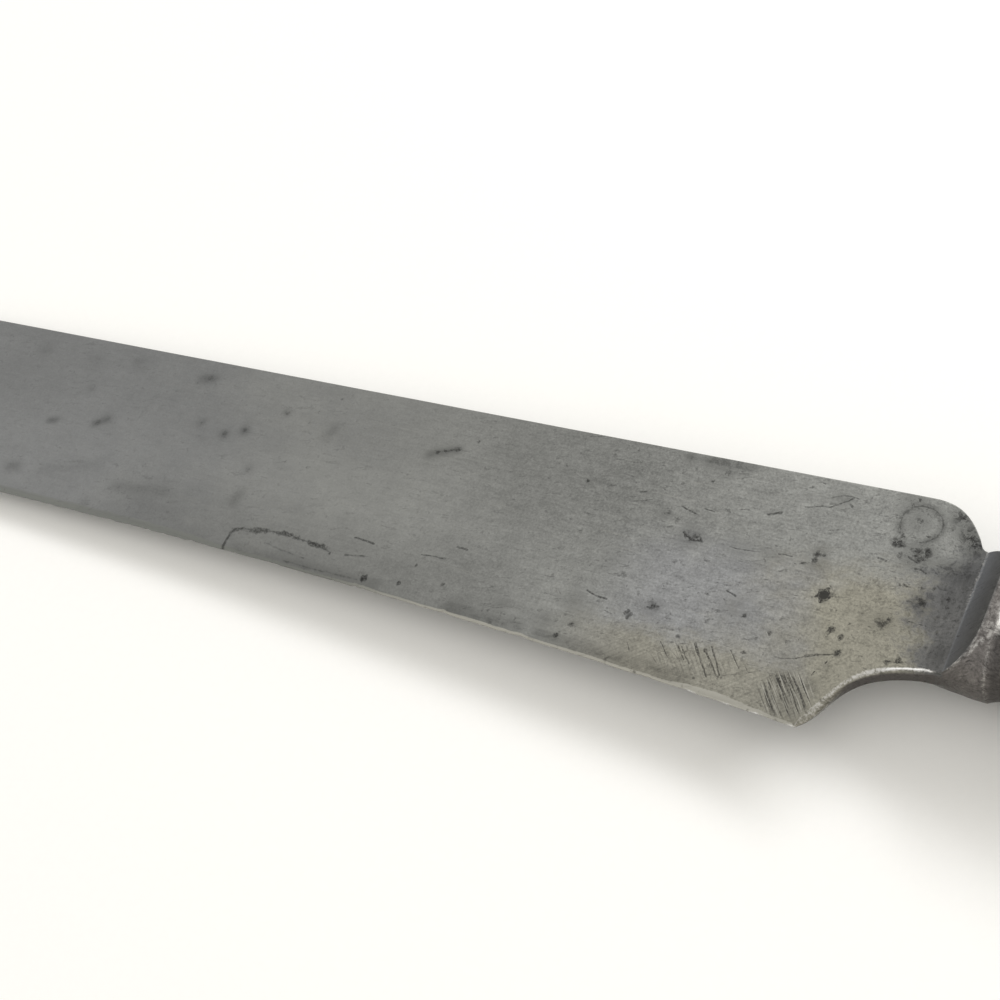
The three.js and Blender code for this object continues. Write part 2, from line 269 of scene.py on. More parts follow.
class Patchwork:
    """Joins grids of points into one closed mesh, with flat faces between their rims."""

    def __init__(self, knife: KnifeFrame) -> None:
        """Starts with no grids.

        Args:
            knife: The knife's frame.
        """
        self.knife = knife
        self.points: list[np.ndarray] = []
        self.faces: list[np.ndarray] = []
        self.openings: list[tuple[np.ndarray, ...]] = []
        self.count = 0

    def grid(self, places: np.ndarray, is_closed: bool = True, is_wrapped: bool = False) -> np.ndarray:
        """Adds a grid of knife places.

        Args:
            places: Points (rows, columns, 3) in millimetres.
            is_closed: Whether each row is a ring.
            is_wrapped: Whether the last row is joined to the first.

        Returns:
            The points' numbers in the mesh, (rows, columns).
        """
        rows, columns, _ = places.shape
        self.points.append(places.reshape(-1, 3))
        self.faces.append(self.count + grid_faces(rows, columns, is_closed, is_wrapped))
        numbers = self.count + np.arange(rows * columns).reshape(rows, columns)
        self.count += rows * columns
        return numbers

    def close(self, *rims: np.ndarray) -> None:
        """Remembers rims, given as closed runs of points, that bound one flat face."""
        self.openings.append(rims)

    def piece(self, name: str, crease: float) -> bpy.types.Object:
        """Makes the mesh.

        Args:
            name: Name of the object.
            crease: Least angle of a sharp edge, in degrees.

        Returns:
            The new object at the origin.
        """
        mesh = bpy.data.meshes.new(name)
        points = self.knife.points(np.concatenate(self.points))
        mesh.from_pydata(points.tolist(), [], np.concatenate(self.faces).tolist())
        work = bmesh.new()
        work.from_mesh(mesh)
        work.verts.ensure_lookup_table()
        for rims in self.openings:
            pairs = np.concatenate([np.stack([rim, np.roll(rim, -1)], axis=1) for rim in rims]).tolist()
            ends = [(work.verts[a], work.verts[b]) for a, b in pairs]
            edges = [work.edges.get(pair) or work.edges.new(pair) for pair in ends]
            bmesh.ops.triangle_fill(work, edges=edges, use_beauty=True)
        bmesh.ops.recalc_face_normals(work, faces=work.faces)
        if work.calc_volume(signed=True) < 0.0:
            bmesh.ops.reverse_faces(work, faces=work.faces)
        work.to_mesh(mesh)
        work.free()
        mesh.shade_smooth()
        mesh.set_sharp_from_angle(angle=math.radians(crease))
        piece = bpy.data.objects.new(name, mesh)
        bpy.context.scene.collection.objects.link(piece)
        return piece


def knife_places(piece: bpy.types.Object, knife: KnifeFrame) -> np.ndarray:
    """Reads a piece's vertices back as knife places.

    Args:
        piece: The piece.
        knife: The knife's frame.

    Returns:
        Places (vertices, 3) in millimetres.
    """
    points = np.empty(len(piece.data.vertices) * 3)
    piece.data.vertices.foreach_get("co", points)
    return (points.reshape(-1, 3) - knife.heel) @ knife.axes.T / MM


def put_field(piece: bpy.types.Object, name: str, values: np.ndarray) -> None:
    """Stores one number for each vertex as a named attribute.

    Args:
        piece: The piece.
        name: Name of the attribute.
        values: The numbers, with 0 for the vertices past their end.
    """
    padded = np.zeros(len(piece.data.vertices), np.float32)
    padded[: values.size] = values.ravel()
    piece.data.attributes.new(name, "FLOAT", "POINT").data.foreach_set("value", padded)


def put_places(piece: bpy.types.Object, knife: KnifeFrame, heights: np.ndarray | None = None) -> None:
    """Stores u and v in metres as the UV map, with the back faces moved out of the front's way.

    Args:
        piece: The piece.
        knife: The knife's frame.
        heights: Values of v for its first points, measured along the surface.
    """
    data = piece.data
    flat = knife_places(piece, knife)[:, :2]
    if heights is not None:
        flat[: heights.size, 1] = heights.ravel()
    corners = np.empty(len(data.loops), np.int32)
    data.loops.foreach_get("vertex_index", corners)
    centres = np.empty(len(data.polygons) * 3)
    data.polygons.foreach_get("center", centres)
    sizes = np.empty(len(data.polygons), np.int32)
    data.polygons.foreach_get("loop_total", sizes)
    is_back = ((centres.reshape(-1, 3) - knife.heel) @ knife.axes.T)[:, 2] < 0.0
    flat = flat[corners]
    flat[:, 1] += np.repeat(np.where(is_back, BACK_SHIFT, 0.0), sizes)
    layer = data.uv_layers.new(name=UV_NAME)
    layer.data.foreach_set("uv", (flat * MM).astype(np.float32).ravel())


def finish_piece(
    piece: bpy.types.Object,
    finish: bpy.types.Material,
    slot: Slot,
    *nodes: str,
) -> None:
    """Dresses a piece and says which solids it stands for.

    Args:
        piece: The piece.
        finish: Its material.
        slot: The record's slot for it; not used.
        nodes: Names of the solids.
    """
    piece.data.materials.append(finish)
    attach(piece, BODY)
    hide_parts(*nodes)
    LOG.info("%s: %d faces, stands for %s", piece.name, len(piece.data.polygons), ", ".join(nodes))


# Shader maths


class Sock:
    """A shader socket that can be used in expressions: each operator adds a Math node."""

    def __init__(self, shader: "Shader", socket: bpy.types.NodeSocket) -> None:
        """Wraps one output socket."""
        self.shader = shader
        self.socket = socket

    def __add__(self, other: Value) -> "Sock":
        """Sum."""
        return self.shader.math("ADD", self, other)

    __radd__ = __add__

    def __sub__(self, other: Value) -> "Sock":
        """Difference."""
        return self.shader.math("SUBTRACT", self, other)

    def __rsub__(self, other: Value) -> "Sock":
        """Difference with the value first."""
        return self.shader.math("SUBTRACT", other, self)

    def __mul__(self, other: Value) -> "Sock":
        """Product."""
        return self.shader.math("MULTIPLY", self, other)

    __rmul__ = __mul__

    def __truediv__(self, other: Value) -> "Sock":
        """Quotient."""
        return self.shader.math("DIVIDE", self, other)

    def __pow__(self, other: Value) -> "Sock":
        """Power."""
        return self.shader.math("POWER", self, other)


class Shader:
    """One material's node tree, with a Principled shader at its end."""

    def __init__(self, name: str) -> None:
        """Makes an empty material with its output and shader nodes.

        Args:
            name: Name of the material.
        """
        self.material = bpy.data.materials.new(name)
        self.material.use_nodes = True
        self.tree = self.material.node_tree
        self.tree.nodes.clear()
        self.surface = self.tree.nodes.new("ShaderNodeBsdfPrincipled")
        output = self.tree.nodes.new("ShaderNodeOutputMaterial")
        self.tree.links.new(self.surface.outputs["BSDF"], output.inputs["Surface"])

    def node(
        self,
        kind: str,
        settings: Mapping[str, Any],
        inputs: Mapping[Union[str, int], Any],
        output: Union[str, int] = 0,
    ) -> Sock:
        """Adds any node.

        Args:
            kind: The node's type.
            settings: Its properties, which are set first.
            inputs: Values or Socks by socket name or number.
            output: The output socket to return.

        Returns:
            The wrapped output.
        """
        made = self.tree.nodes.new(kind)
        for key, value in settings.items():
            setattr(made, key, value)
        for key, value in inputs.items():
            self.feed(made.inputs[key], value)
        return Sock(self, made.outputs[output])

    def feed(self, socket: bpy.types.NodeSocket, value: Any) -> None:
        """Links a Sock to a socket, or sets a plain value on it.

        Args:
            socket: The input socket.
            value: A Sock, a number, a vector or a colour.
        """
        if isinstance(value, Sock):
            self.tree.links.new(value.socket, socket)
        elif isinstance(value, tuple) and len(value) == 3 and len(socket.default_value) == 4:
            socket.default_value = (*value, 1.0)
        else:
            socket.default_value = value

    def math(self, operation: str, a: Value, b: Value = 0.0) -> Sock:
        """Adds a Math node."""
        return self.node("ShaderNodeMath", {"operation": operation}, {0: a, 1: b})

    def clamp(self, a: Value) -> Sock:
        """Keeps a value between 0 and 1."""
        return self.node("ShaderNodeClamp", {}, {"Value": a})

    def most(self, a: Value, b: Value) -> Sock:
        """The larger of two values."""
        return self.math("MAXIMUM", a, b)

    def ramp(self, value: Value, low: Value, high: Value) -> Sock:
        """Rises smoothly from 0 at low to 1 at high, which may be the smaller of the two.

        Args:
            value: What is read.
            low: Where the rise starts.
            high: Where it ends.

        Returns:
            Values from 0 to 1.
        """
        settings = {"interpolation_type": "SMOOTHSTEP"}
        ends = {"Value": value, "From Min": low, "From Max": high, "To Min": 0.0, "To Max": 1.0}
        return self.node("ShaderNodeMapRange", settings, ends)

    def mix(self, factor: Value, a: Values, b: Values) -> Sock:
        """Mixes two colours."""
        settings = {"data_type": "RGBA", "clamp_factor": True}
        return self.node("ShaderNodeMix", settings, {0: factor, 6: a, 7: b}, output=2)

    def vector(self, operation: str, a: Values, b: Values, output: Union[str, int] = 0) -> Sock:
        """Adds a Vector Math node."""
        return self.node("ShaderNodeVectorMath", {"operation": operation}, {0: a, 1: b}, output)

    def scaled(self, vector: Values, factor: Value) -> Sock:
        """Scales a vector or a colour by a value."""
        return self.node("ShaderNodeVectorMath", {"operation": "SCALE"}, {0: vector, "Scale": factor})

    def run_gap(self, place: Sock, run: Sequence[Place]) -> Sock:
        """Distance from a run of straight stretches.

        The nearest point of a stretch is its start plus the clamped projection on its direction.

        Args:
            place: Where it is read.
            run: Corners of the run.

        Returns:
            The distance, in the units of the place.
        """
        best: Any = None
        for (u0, v0), (u1, v1) in zip(run[:-1], run[1:]):
            du, dv = u1 - u0, v1 - v0
            square = du * du + dv * dv
            offset = self.vector("SUBTRACT", place, (u0, v0, 0.0))
            share = self.clamp(self.vector("DOT_PRODUCT", offset, (du / square, dv / square, 0.0), "Value"))
            gap = self.vector("DISTANCE", offset, self.scaled((du, dv, 0.0), share), "Value")
            best = gap if best is None else self.math("MINIMUM", best, gap)
        return best

    def attribute(self, name: str) -> Sock:
        """Reads a number stored on the mesh."""
        settings = {"attribute_name": name, "attribute_type": "GEOMETRY"}
        return self.node("ShaderNodeAttribute", settings, {}, output="Fac")

    def places(self) -> Sock:
        """Knife places (u, v) in metres from the UV map."""
        return self.node("ShaderNodeUVMap", {"uv_map": UV_NAME}, {})

    def object_places(self) -> Sock:
        """Object coordinates in metres."""
        return self.node("ShaderNodeTexCoord", {}, {}, output="Object")

    def part(self, vector: Sock, axis: str) -> Sock:
        """One component of a vector."""
        return self.node("ShaderNodeSeparateXYZ", {}, {0: vector}, output=axis)

    def stretch(self, vector: Sock, scale: Sequence[float], turn: float = 0.0) -> Sock:
        """Turns a vector about Z, and then scales it.

        Args:
            vector: The vector.
            scale: Factors of its three parts.
            turn: The angle in degrees.

        Returns:
            The new vector.
        """
        turned = self.node(
            "ShaderNodeMapping",
            {"vector_type": "POINT"},
            {"Vector": vector, "Rotation": (0.0, 0.0, math.radians(turn))},
        )
        return self.node("ShaderNodeVectorMath", {"operation": "MULTIPLY"}, {0: turned, 1: scale})

    def noise(
        self,
        vector: Sock,
        scale: float,
        detail: float = 3.0,
        rough: float = 0.55,
        swirl: float = 0.0,
        colour: bool = False,
    ) -> Sock:
        """Noise between 0 and 1.

        Args:
            vector: Where it is read.
            scale: Lumps in a unit of length.
            detail: Octaves.
            rough: Strength of each octave against the one before.
            swirl: How far the noise bends itself.
            colour: Whether three noises are wanted, as a vector.

        Returns:
            The noise.
        """
        sizes = {"Vector": vector, "Scale": scale, "Detail": detail, "Roughness": rough, "Distortion": swirl}
        return self.node("ShaderNodeTexNoise", {}, sizes, output="Color" if colour else 0)

    def bump(self, height: Value, depth: float, strength: float = 1.0) -> Sock:
        """A bumped normal from a height of 0 to 1 that stands for a depth in metres."""
        sizes = {"Height": height, "Distance": depth, "Strength": strength}
        return self.node("ShaderNodeBump", {}, sizes)

    def finish(self, **sockets: Any) -> bpy.types.Material:
        """Feeds the Principled shader.

        Args:
            sockets: Values or Socks by socket name, with underscores for its spaces.

        Returns:
            The finished material.
        """
        for key, value in sockets.items():
            self.feed(self.surface.inputs[key.replace("_", " ")], value)
        return self.material


# Marks on the steel, by knife place in millimetres


@dataclass(frozen=True)
class Spot:
    """A round pit or stain."""

    u: float
    v: float
    radius: float
    depth: float

    def away(self, u: np.ndarray, v: np.ndarray) -> np.ndarray:
        """Distance from the middle, in radii."""
        return np.hypot(u - self.u, v - self.v) / self.radius


@dataclass(frozen=True)
class Trail:
    """A crack, a scratch or the edge of a stain along a run of places."""

    run: tuple[Place, ...]
    radius: float
    depth: float

    def away(self, u: np.ndarray, v: np.ndarray) -> np.ndarray:
        """Distance from the run, in half widths of its line."""
        return distance_to_run(u, v, self.run) / self.radius


Mark = Union[Spot, Trail]
SpotRow = tuple[float, float, float, float]


def spots(*rows: SpotRow) -> tuple[Spot, ...]:
    """Makes a spot of each row of u, v, radius and depth."""
    return tuple(Spot(*row) for row in rows)


def scattered(seed: int, count: int, least: SpotRow, most: SpotRow) -> tuple[Spot, ...]:
    """Draws rows for spots at random, evenly between the least and the most of each number."""
    return spots(*np.random.default_rng(seed).uniform(least, most, (count, len(least))))


RING_MIDDLE = (6.5, 28.4)
RING_RADIUS = 2.5
TIDE_SIDE = ((-82.2, 3.5), (-82.0, 5.0), (-81.8, 6.3), (-81.3, 6.9), (-80.4, 7.2))
TIDE_TOP = ((-80.4, 7.2), (-78.9, 7.4), (-76.1, 7.8), (-72.9, 7.9), (-69.5, 7.5), (-66.0, 6.9))

FRONT_PITS = spots(
    # Towards the tip
    (-98.1, 29.1, 0.7, 0.75), (-90.8, 20.6, 0.5, 0.8), (-88.0, 21.9, 0.5, 0.8),
    (-95.4, 21.7, 0.4, 0.7), (-84.1, 16.1, 0.45, 0.7), (-82.9, 26.0, 0.4, 0.7),
    (-78.1, 27.1, 0.35, 0.7), (-79.1, 18.4, 0.4, 0.7), (-75.4, 18.3, 0.4, 0.75),
    (-93.0, 6.9, 0.4, 0.7), (-112.2, 18.1, 0.5, 0.95), (-116.8, 23.4, 0.4, 0.85),
    (-94.6, 19.6, 0.35, 0.75), (-78.6, 25.2, 0.35, 0.75), (-75.7, 29.9, 0.35, 0.75),
    (-101.3, 8.3, 0.5, 0.8), (-66.0, 6.8, 0.4, 0.9),
    # Middle of the blade
    (-19.2, 20.4, 0.6, 0.8), (-20.4, 20.9, 0.45, 0.75), (-59.7, 4.6, 0.55, 1.0),
    (-31.4, 3.4, 0.4, 0.9), (-20.8, 10.0, 0.5, 0.85), (-29.9, 5.3, 0.5, 0.75),
    (-52.8, 27.5, 0.3, 0.85), (-55.6, 28.6, 0.3, 0.85), (-48.5, 6.4, 0.35, 0.85),
    (-54.5, 5.1, 0.4, 0.85), (-53.3, 7.9, 0.35, 0.7), (-23.9, 23.0, 0.45, 0.7),
    (-38.1, 25.8, 0.4, 0.75), (-35.7, 25.1, 0.4, 0.85), (-19.8, 28.6, 0.35, 0.8),
    (-28.4, 26.0, 0.35, 0.8), (-30.8, 13.4, 0.35, 0.6),
    # Heel and shoulder
    (-1.6, 16.5, 0.58, 1.9), (-1.4, 17.4, 0.26, 1.2), (-2.4, 17.0, 0.26, 1.1),
    (-1.8, 15.6, 0.26, 1.2), (-0.7, 16.8, 0.26, 1.1), (-2.4, 16.0, 0.26, 1.0),
    (-4.2, 20.6, 0.5, 0.9), (-4.0, 21.7, 0.5, 0.9), (-3.1, 21.7, 0.4, 0.85), (0.4, 6.7, 0.3, 0.85),
    (1.3, 8.1, 0.32, 0.95), (-4.1, 9.7, 0.3, 0.85), (-2.4, 10.2, 0.3, 0.85),
    (3.2, 6.8, 0.35, 0.75), (4.6, 25.3, 0.85, 0.95), (4.7, 26.5, 0.5, 0.85), (5.3, 23.6, 0.5, 0.8),
    (8.3, 24.9, 0.65, 0.88), (7.4, 24.8, 0.6, 0.8), (7.0, 24.1, 0.6, 0.78), (7.5, 23.8, 0.6, 0.74),
    (6.5, 24.8, 0.5, 0.64), (8.0, 24.2, 0.5, 0.7), (5.2, 24.0, 0.45, 0.78),
    (9.0, 20.1, 0.45, 0.75), (6.3, 28.8, 0.4, 0.75), (7.6, 27.0, 0.4, 0.65),
    (10.3, 20.4, 0.4, 0.65), (5.8, 14.6, 0.75, 0.85), (6.4, 15.1, 0.5, 0.85),
    (11.1, 30.3, 0.5, 0.65), (12.5, 27.8, 0.6, 0.6), (0.6, 12.3, 0.55, 0.9), (0.1, 11.5, 0.4, 0.8),
    (1.9, 11.7, 0.45, 0.85), (9.5, 18.3, 0.75, 0.8), (10.3, 18.9, 0.4, 0.7),
    (12.2, 19.2, 0.5, 0.65), (10.5, 20.8, 0.5, 0.6), (2.2, 9.6, 0.5, 1.0), (5.9, 29.1, 0.4, 0.6),
    (5.3, 31.6, 0.5, 0.6), (4.7, 30.8, 0.35, 0.6), (-9.7, 11.6, 0.5, 0.75), (8.9, 10.4, 0.5, 0.85),
    (-12.7, 6.1, 0.35, 0.9), (-8.3, 6.9, 0.38, 0.9), (-7.5, 9.0, 0.3, 0.75),
    (-6.2, 10.1, 0.4, 0.85), (-3.8, 9.5, 0.3, 0.85),
)

FRONT_CRACKS: tuple[Trail, ...] = (
    Trail(TIDE_TOP, 0.5, 0.62),
    Trail(((-79.0, 7.4), (-76.6, 7.7)), 0.45, 0.95),
    Trail(((-74.8, 7.9), (-72.9, 7.9)), 0.42, 1.0),
    Trail(((-69.4, 7.5), (-67.2, 7.2)), 0.4, 0.95),
    Trail(((7.6, 10.0), (8.9, 10.2), (9.9, 10.5)), 0.24, 0.75),
    Trail(((-6.3, 19.8), (-5.0, 20.2)), 0.15, 0.75),
    Trail(((-20.8, 20.7), (-19.7, 20.1), (-18.4, 20.0), (-18.9, 20.9)), 0.32, 0.8),
    Trail(TIDE_SIDE, 0.36, 0.75),
    Trail(((-57.9, 24.7), (-55.0, 25.8)), 0.34, 0.72),
    Trail(((8.8, 15.5), (11.1, 15.5)), 0.13, 0.7),
    Trail(((6.4, 23.0), (6.9, 22.7)), 0.17, 0.75),
)

FRONT_LINES: tuple[Trail, ...] = (
    Trail(arc(RING_MIDDLE, RING_RADIUS, -78.0, 105.0, 9), 0.21, 0.66),
    Trail(arc(RING_MIDDLE, RING_RADIUS, 105.0, 212.0, 6), 0.21, 0.6),
    Trail(TIDE_SIDE, 0.22, 0.95),
    Trail(TIDE_TOP, 0.22, 0.7),
    Trail(((-4.0, 7.3), (-2.4, 7.7), (-1.2, 8.3)), 0.13, 0.75),
    Trail(((-1.2, 8.3), (0.0, 8.8)), 0.17, 1.0),
    Trail(((0.0, 8.8), (1.5, 9.3), (2.5, 9.8)), 0.13, 0.95),
    Trail(
        ((-7.4, 27.6), (-5.6, 28.1), (-4.6, 28.2), (-3.6, 28.9), (-2.7, 29.6), (-2.2, 30.1)),
        0.18,
        0.72,
    ),
    Trail(((-4.7, 29.6), (-3.6, 30.2), (-2.6, 30.3), (-1.6, 30.1)), 0.18, 0.68),
    Trail(((-63.4, 9.7), (-61.8, 9.7), (-60.4, 9.5)), 0.18, 0.95),
    Trail(((-53.1, 9.5), (-51.4, 9.7), (-49.7, 9.8)), 0.15, 0.8),
    Trail(((-48.8, 11.8), (-47.4, 11.7)), 0.17, 0.95),
    Trail(((-76.0, 6.0), (-69.5, 5.2)), 0.3, 0.55),
    Trail(((-9.9, 3.5), (-8.0, 4.2), (-5.7, 5.3)), 0.13, 0.62),
    Trail(((-72.3, 4.2), (-66.0, 4.1), (-60.6, 4.2)), 0.3, 0.56),
    Trail(((-63.7, 7.1), (-62.2, 7.3), (-60.8, 7.5)), 0.22, 0.7),
    Trail(((-29.7, 10.1), (-28.5, 9.6), (-26.9, 9.5)), 0.15, 0.9),
    Trail(((-23.9, 8.3), (-23.3, 8.3)), 0.3, 1.3),
    Trail(((-23.7, 8.7), (-23.5, 7.8)), 0.24, 1.2),
    Trail(((-21.6, 9.8), (-20.8, 9.8), (-20.3, 10.1)), 0.18, 0.95),
    Trail(((-22.4, 24.3), (-21.2, 23.9), (-20.1, 23.6)), 0.15, 0.85),
    Trail(((-19.4, 24.6), (-18.2, 24.4)), 0.14, 0.8),
    Trail(((-28.4, 25.0), (-27.6, 25.2)), 0.14, 0.8),
    Trail(((-29.4, 23.3), (-27.9, 23.8), (-26.4, 24.3)), 0.13, 0.7),
    Trail(((-14.7, 20.1), (-13.6, 20.0), (-10.8, 20.3)), 0.14, 0.72),
    Trail(((-8.6, 20.5), (-6.9, 20.6)), 0.13, 0.75),
    Trail(((-12.9, 14.2), (-11.7, 13.8)), 0.16, 0.85),
    Trail(((-11.6, 25.5), (-10.9, 25.7), (-10.1, 26.1)), 0.19, 1.0),
    Trail(((3.0, 22.8), (3.9, 22.6)), 0.2, 0.85),
    Trail(((6.3, 23.7), (7.5, 23.2)), 0.16, 0.8),
    Trail(((7.5, 22.4), (8.2, 22.4), (8.8, 22.1)), 0.2, 0.85),
    Trail(((6.7, 20.1), (7.2, 19.9), (7.6, 19.9)), 0.18, 0.85),
    # Strokes of the whetstone before the heel
    Trail(((-22.4, 4.7), (-21.7, 3.8)), 0.11, 0.7),
    Trail(((-19.1, 4.0), (-18.0, 3.1)), 0.11, 0.7),
    Trail(((-18.4, 5.8), (-16.8, 4.1)), 0.12, 0.85),
    Trail(((-17.0, 5.3), (-15.7, 4.3)), 0.11, 0.7),
    Trail(((-16.2, 5.9), (-14.9, 4.3)), 0.12, 0.9),
    Trail(((-15.7, 5.8), (-14.1, 3.9)), 0.12, 0.85),
    Trail(((-14.2, 6.6), (-13.4, 5.4)), 0.19, 1.05),
    Trail(((-13.5, 5.5), (-11.6, 3.0)), 0.13, 0.95),
    Trail(((-12.9, 6.2), (-10.5, 3.5)), 0.14, 1.0),
    Trail(((-12.2, 6.7), (-10.1, 3.6)), 0.13, 0.95),
    Trail(((-9.8, 6.9), (-8.2, 4.9)), 0.11, 0.8),
    Trail(((-7.6, 5.4), (-7.1, 4.8)), 0.11, 0.7),
)

FRONT_STAINS: tuple[Mark, ...] = (
    *spots(
        # Towards the tip
        (-116.9, 23.5, 1.0, 0.4), (-90.8, 20.6, 0.8, 1.0), (-88.0, 21.9, 0.8, 1.0),
        (-95.4, 21.7, 0.8, 0.6), (-84.1, 16.1, 0.8, 0.6), (-82.9, 26.0, 0.8, 0.6),
        (-107.0, 5.3, 1.0, 0.4), (-111.5, 29.4, 1.2, 0.35), (-129.0, 28.5, 1.3, 0.35),
        (-119.2, 28.5, 1.5, 0.3),
        # Middle of the blade
        (-39.8, 5.1, 1.5, 0.4), (-33.8, 5.1, 1.5, 0.45), (-23.9, 22.7, 0.8, 0.4),
        (-20.8, 10.0, 1.1, 0.6), (-19.8, 20.2, 1.4, 0.5), (-18.2, 30.4, 1.1, 0.6),
        (-23.7, 31.5, 1.0, 0.5), (-31.0, 8.0, 2.2, 0.3), (-28.0, 14.6, 1.7, 0.25),
        # Heel and shoulder
        (7.4, 24.2, 2.1, 0.8), (6.3, 28.6, 1.5, 0.5), (10.8, 30.3, 1.5, 0.95),
        (9.6, 18.4, 1.7, 0.65), (-12.9, 20.1, 2.0, 0.25), (-9.5, 20.2, 1.8, 0.3),
        (5.9, 14.8, 1.5, 0.5), (0.4, 4.9, 0.8, 0.7), (-1.2, 3.0, 2.2, 0.45), (4.4, 29.8, 1.3, 0.5),
        (-3.9, 21.2, 1.3, 0.6), (-3.4, 29.6, 1.3, 0.4), (6.0, 28.9, 1.9, 0.45),
        (4.9, 31.4, 1.6, 0.5), (-11.3, 12.4, 1.6, 0.4), (12.0, 19.6, 1.6, 0.5),
        (13.4, 12.2, 1.3, 0.5),
    ),
    Trail(((-120.7, 16.8), (-119.6, 17.0)), 0.6, 1.0),
    Trail(((-112.6, 17.9), (-111.1, 19.0)), 0.75, 1.1),
    Trail(((-99.2, 28.8), (-97.6, 29.1)), 0.9, 0.8),
    Trail(((-83.4, 12.2), (-83.8, 10.8)), 1.0, 0.6),
    Trail(((-74.4, 25.2), (-75.0, 23.9)), 1.0, 0.55),
    Trail(((-122.6, 8.0), (-121.6, 8.3)), 0.9, 0.8),
    Trail(((-116.9, 8.9), (-108.2, 11.4)), 0.9, 0.3),
    Trail(((-103.5, 8.9), (-95.2, 9.8)), 1.0, 0.45),
    Trail(((-58.8, 24.2), (-57.0, 25.0), (-55.2, 25.7)), 0.8, 0.9),
    Trail(((-46.5, 3.6), (-41.3, 3.4), (-36.8, 3.4)), 1.0, 0.6),
    Trail(((-20.8, 31.7), (-16.2, 31.7)), 1.2, 0.62),
    Trail(arc(RING_MIDDLE, RING_RADIUS, -60.0, 215.0, 12), 0.55, 0.75),
    Trail(((12.0, 28.4), (13.3, 26.6)), 1.3, 1.0),
    Trail(((10.4, 23.2), (13.2, 22.8)), 1.6, 0.65),
    Trail(((-3.0, 4.5), (-2.3, 4.9)), 0.9, 1.0),
    Trail(((-34.0, 3.2), (-27.8, 2.7), (-20.5, 2.4), (-14.0, 2.2)), 0.8, 0.52),
    Trail(((-80.0, 4.4), (-70.0, 4.3), (-58.0, 4.0)), 0.9, 0.5),
)

BACK_PITS = scattered(5, 40, (-170.0, 6.0, 0.35, 0.65), (10.0, 30.0, 0.9, 1.0))
BACK_STAINS = scattered(8, 34, (-170.0, 6.0, 0.8, 0.3), (12.0, 30.0, 2.4, 0.7))
PITS: Mapping[Side, Sequence[Mark]] = {Side.FRONT: FRONT_PITS, Side.BACK: BACK_PITS}
STAINS: Mapping[Side, Sequence[Mark]] = {Side.FRONT: FRONT_STAINS, Side.BACK: BACK_STAINS}


# Finishes


class SteelGround:
    """Places, zones and noises that the layers of the steel share.

    Attributes:
        place: Knife places (u, v) in metres.
        along: u in millimetres.
        across: v in millimetres.
        cloud: Noise with lumps some 17 mm wide.
        mottle: Noise with lumps of about 4 by 2 mm.
        grains: Noise with lumps of about 1 mm.
        grit: Noise with lumps of a third of a millimetre.
        brush: Noise in fine streaks along the blade.
        crisp: How sharply marks show, from 0 towards the tip to 1 at the heel.
        foot: 0 on the blade, rising to 1 behind the heel.
        heel: 1 above the edge next to the heel.
        neck: 1 on the shaded steel in front of the bolster, with a ragged border.
    """

    def __init__(self, s: Shader) -> None:
        """Adds the nodes to a material.

        Args:
            s: The material.
        """
        self.place = place = s.places()
        self.along = along = s.part(place, "X") / MM
        self.across = across = s.part(place, "Y") / MM
        self.cloud = s.noise(place, 60.0, 4.0, 0.6)
        self.mottle = s.noise(s.stretch(place, (260.0, 430.0, 1.0), -6.0), 1.0, 5.0, 0.68)
        self.grains = s.noise(place, 1000.0, 4.0, 0.72, 0.5)
        self.grit = s.noise(place, 3100.0, 3.0, 0.7)
        self.brush = s.noise(s.stretch(place, (110.0, 2300.0, 1.0), 2.0), 1.0, 4.0, 0.65)
        self.crisp = s.ramp(along, -78.0, -6.0)
        self.foot = s.ramp(along, -3.0, 8.0)
        low = s.ramp(across + (self.mottle - 0.5) * 6.0, 9.0, 5.0)
        self.heel = low * s.ramp(along, -36.0, -20.0) * s.ramp(along, 7.0, 3.0)
        border = along + (self.mottle - 0.5) * 13.0 + (self.grains - 0.5) * 6.0
        border = border - s.ramp(across, 20.5, 28.0) * 3.4
        border = border + 2.0 * s.ramp(across, 11.0, 17.0) * s.ramp(across, 26.0, 21.0)
        self.neck = s.ramp(border, 8.2, 13.4)


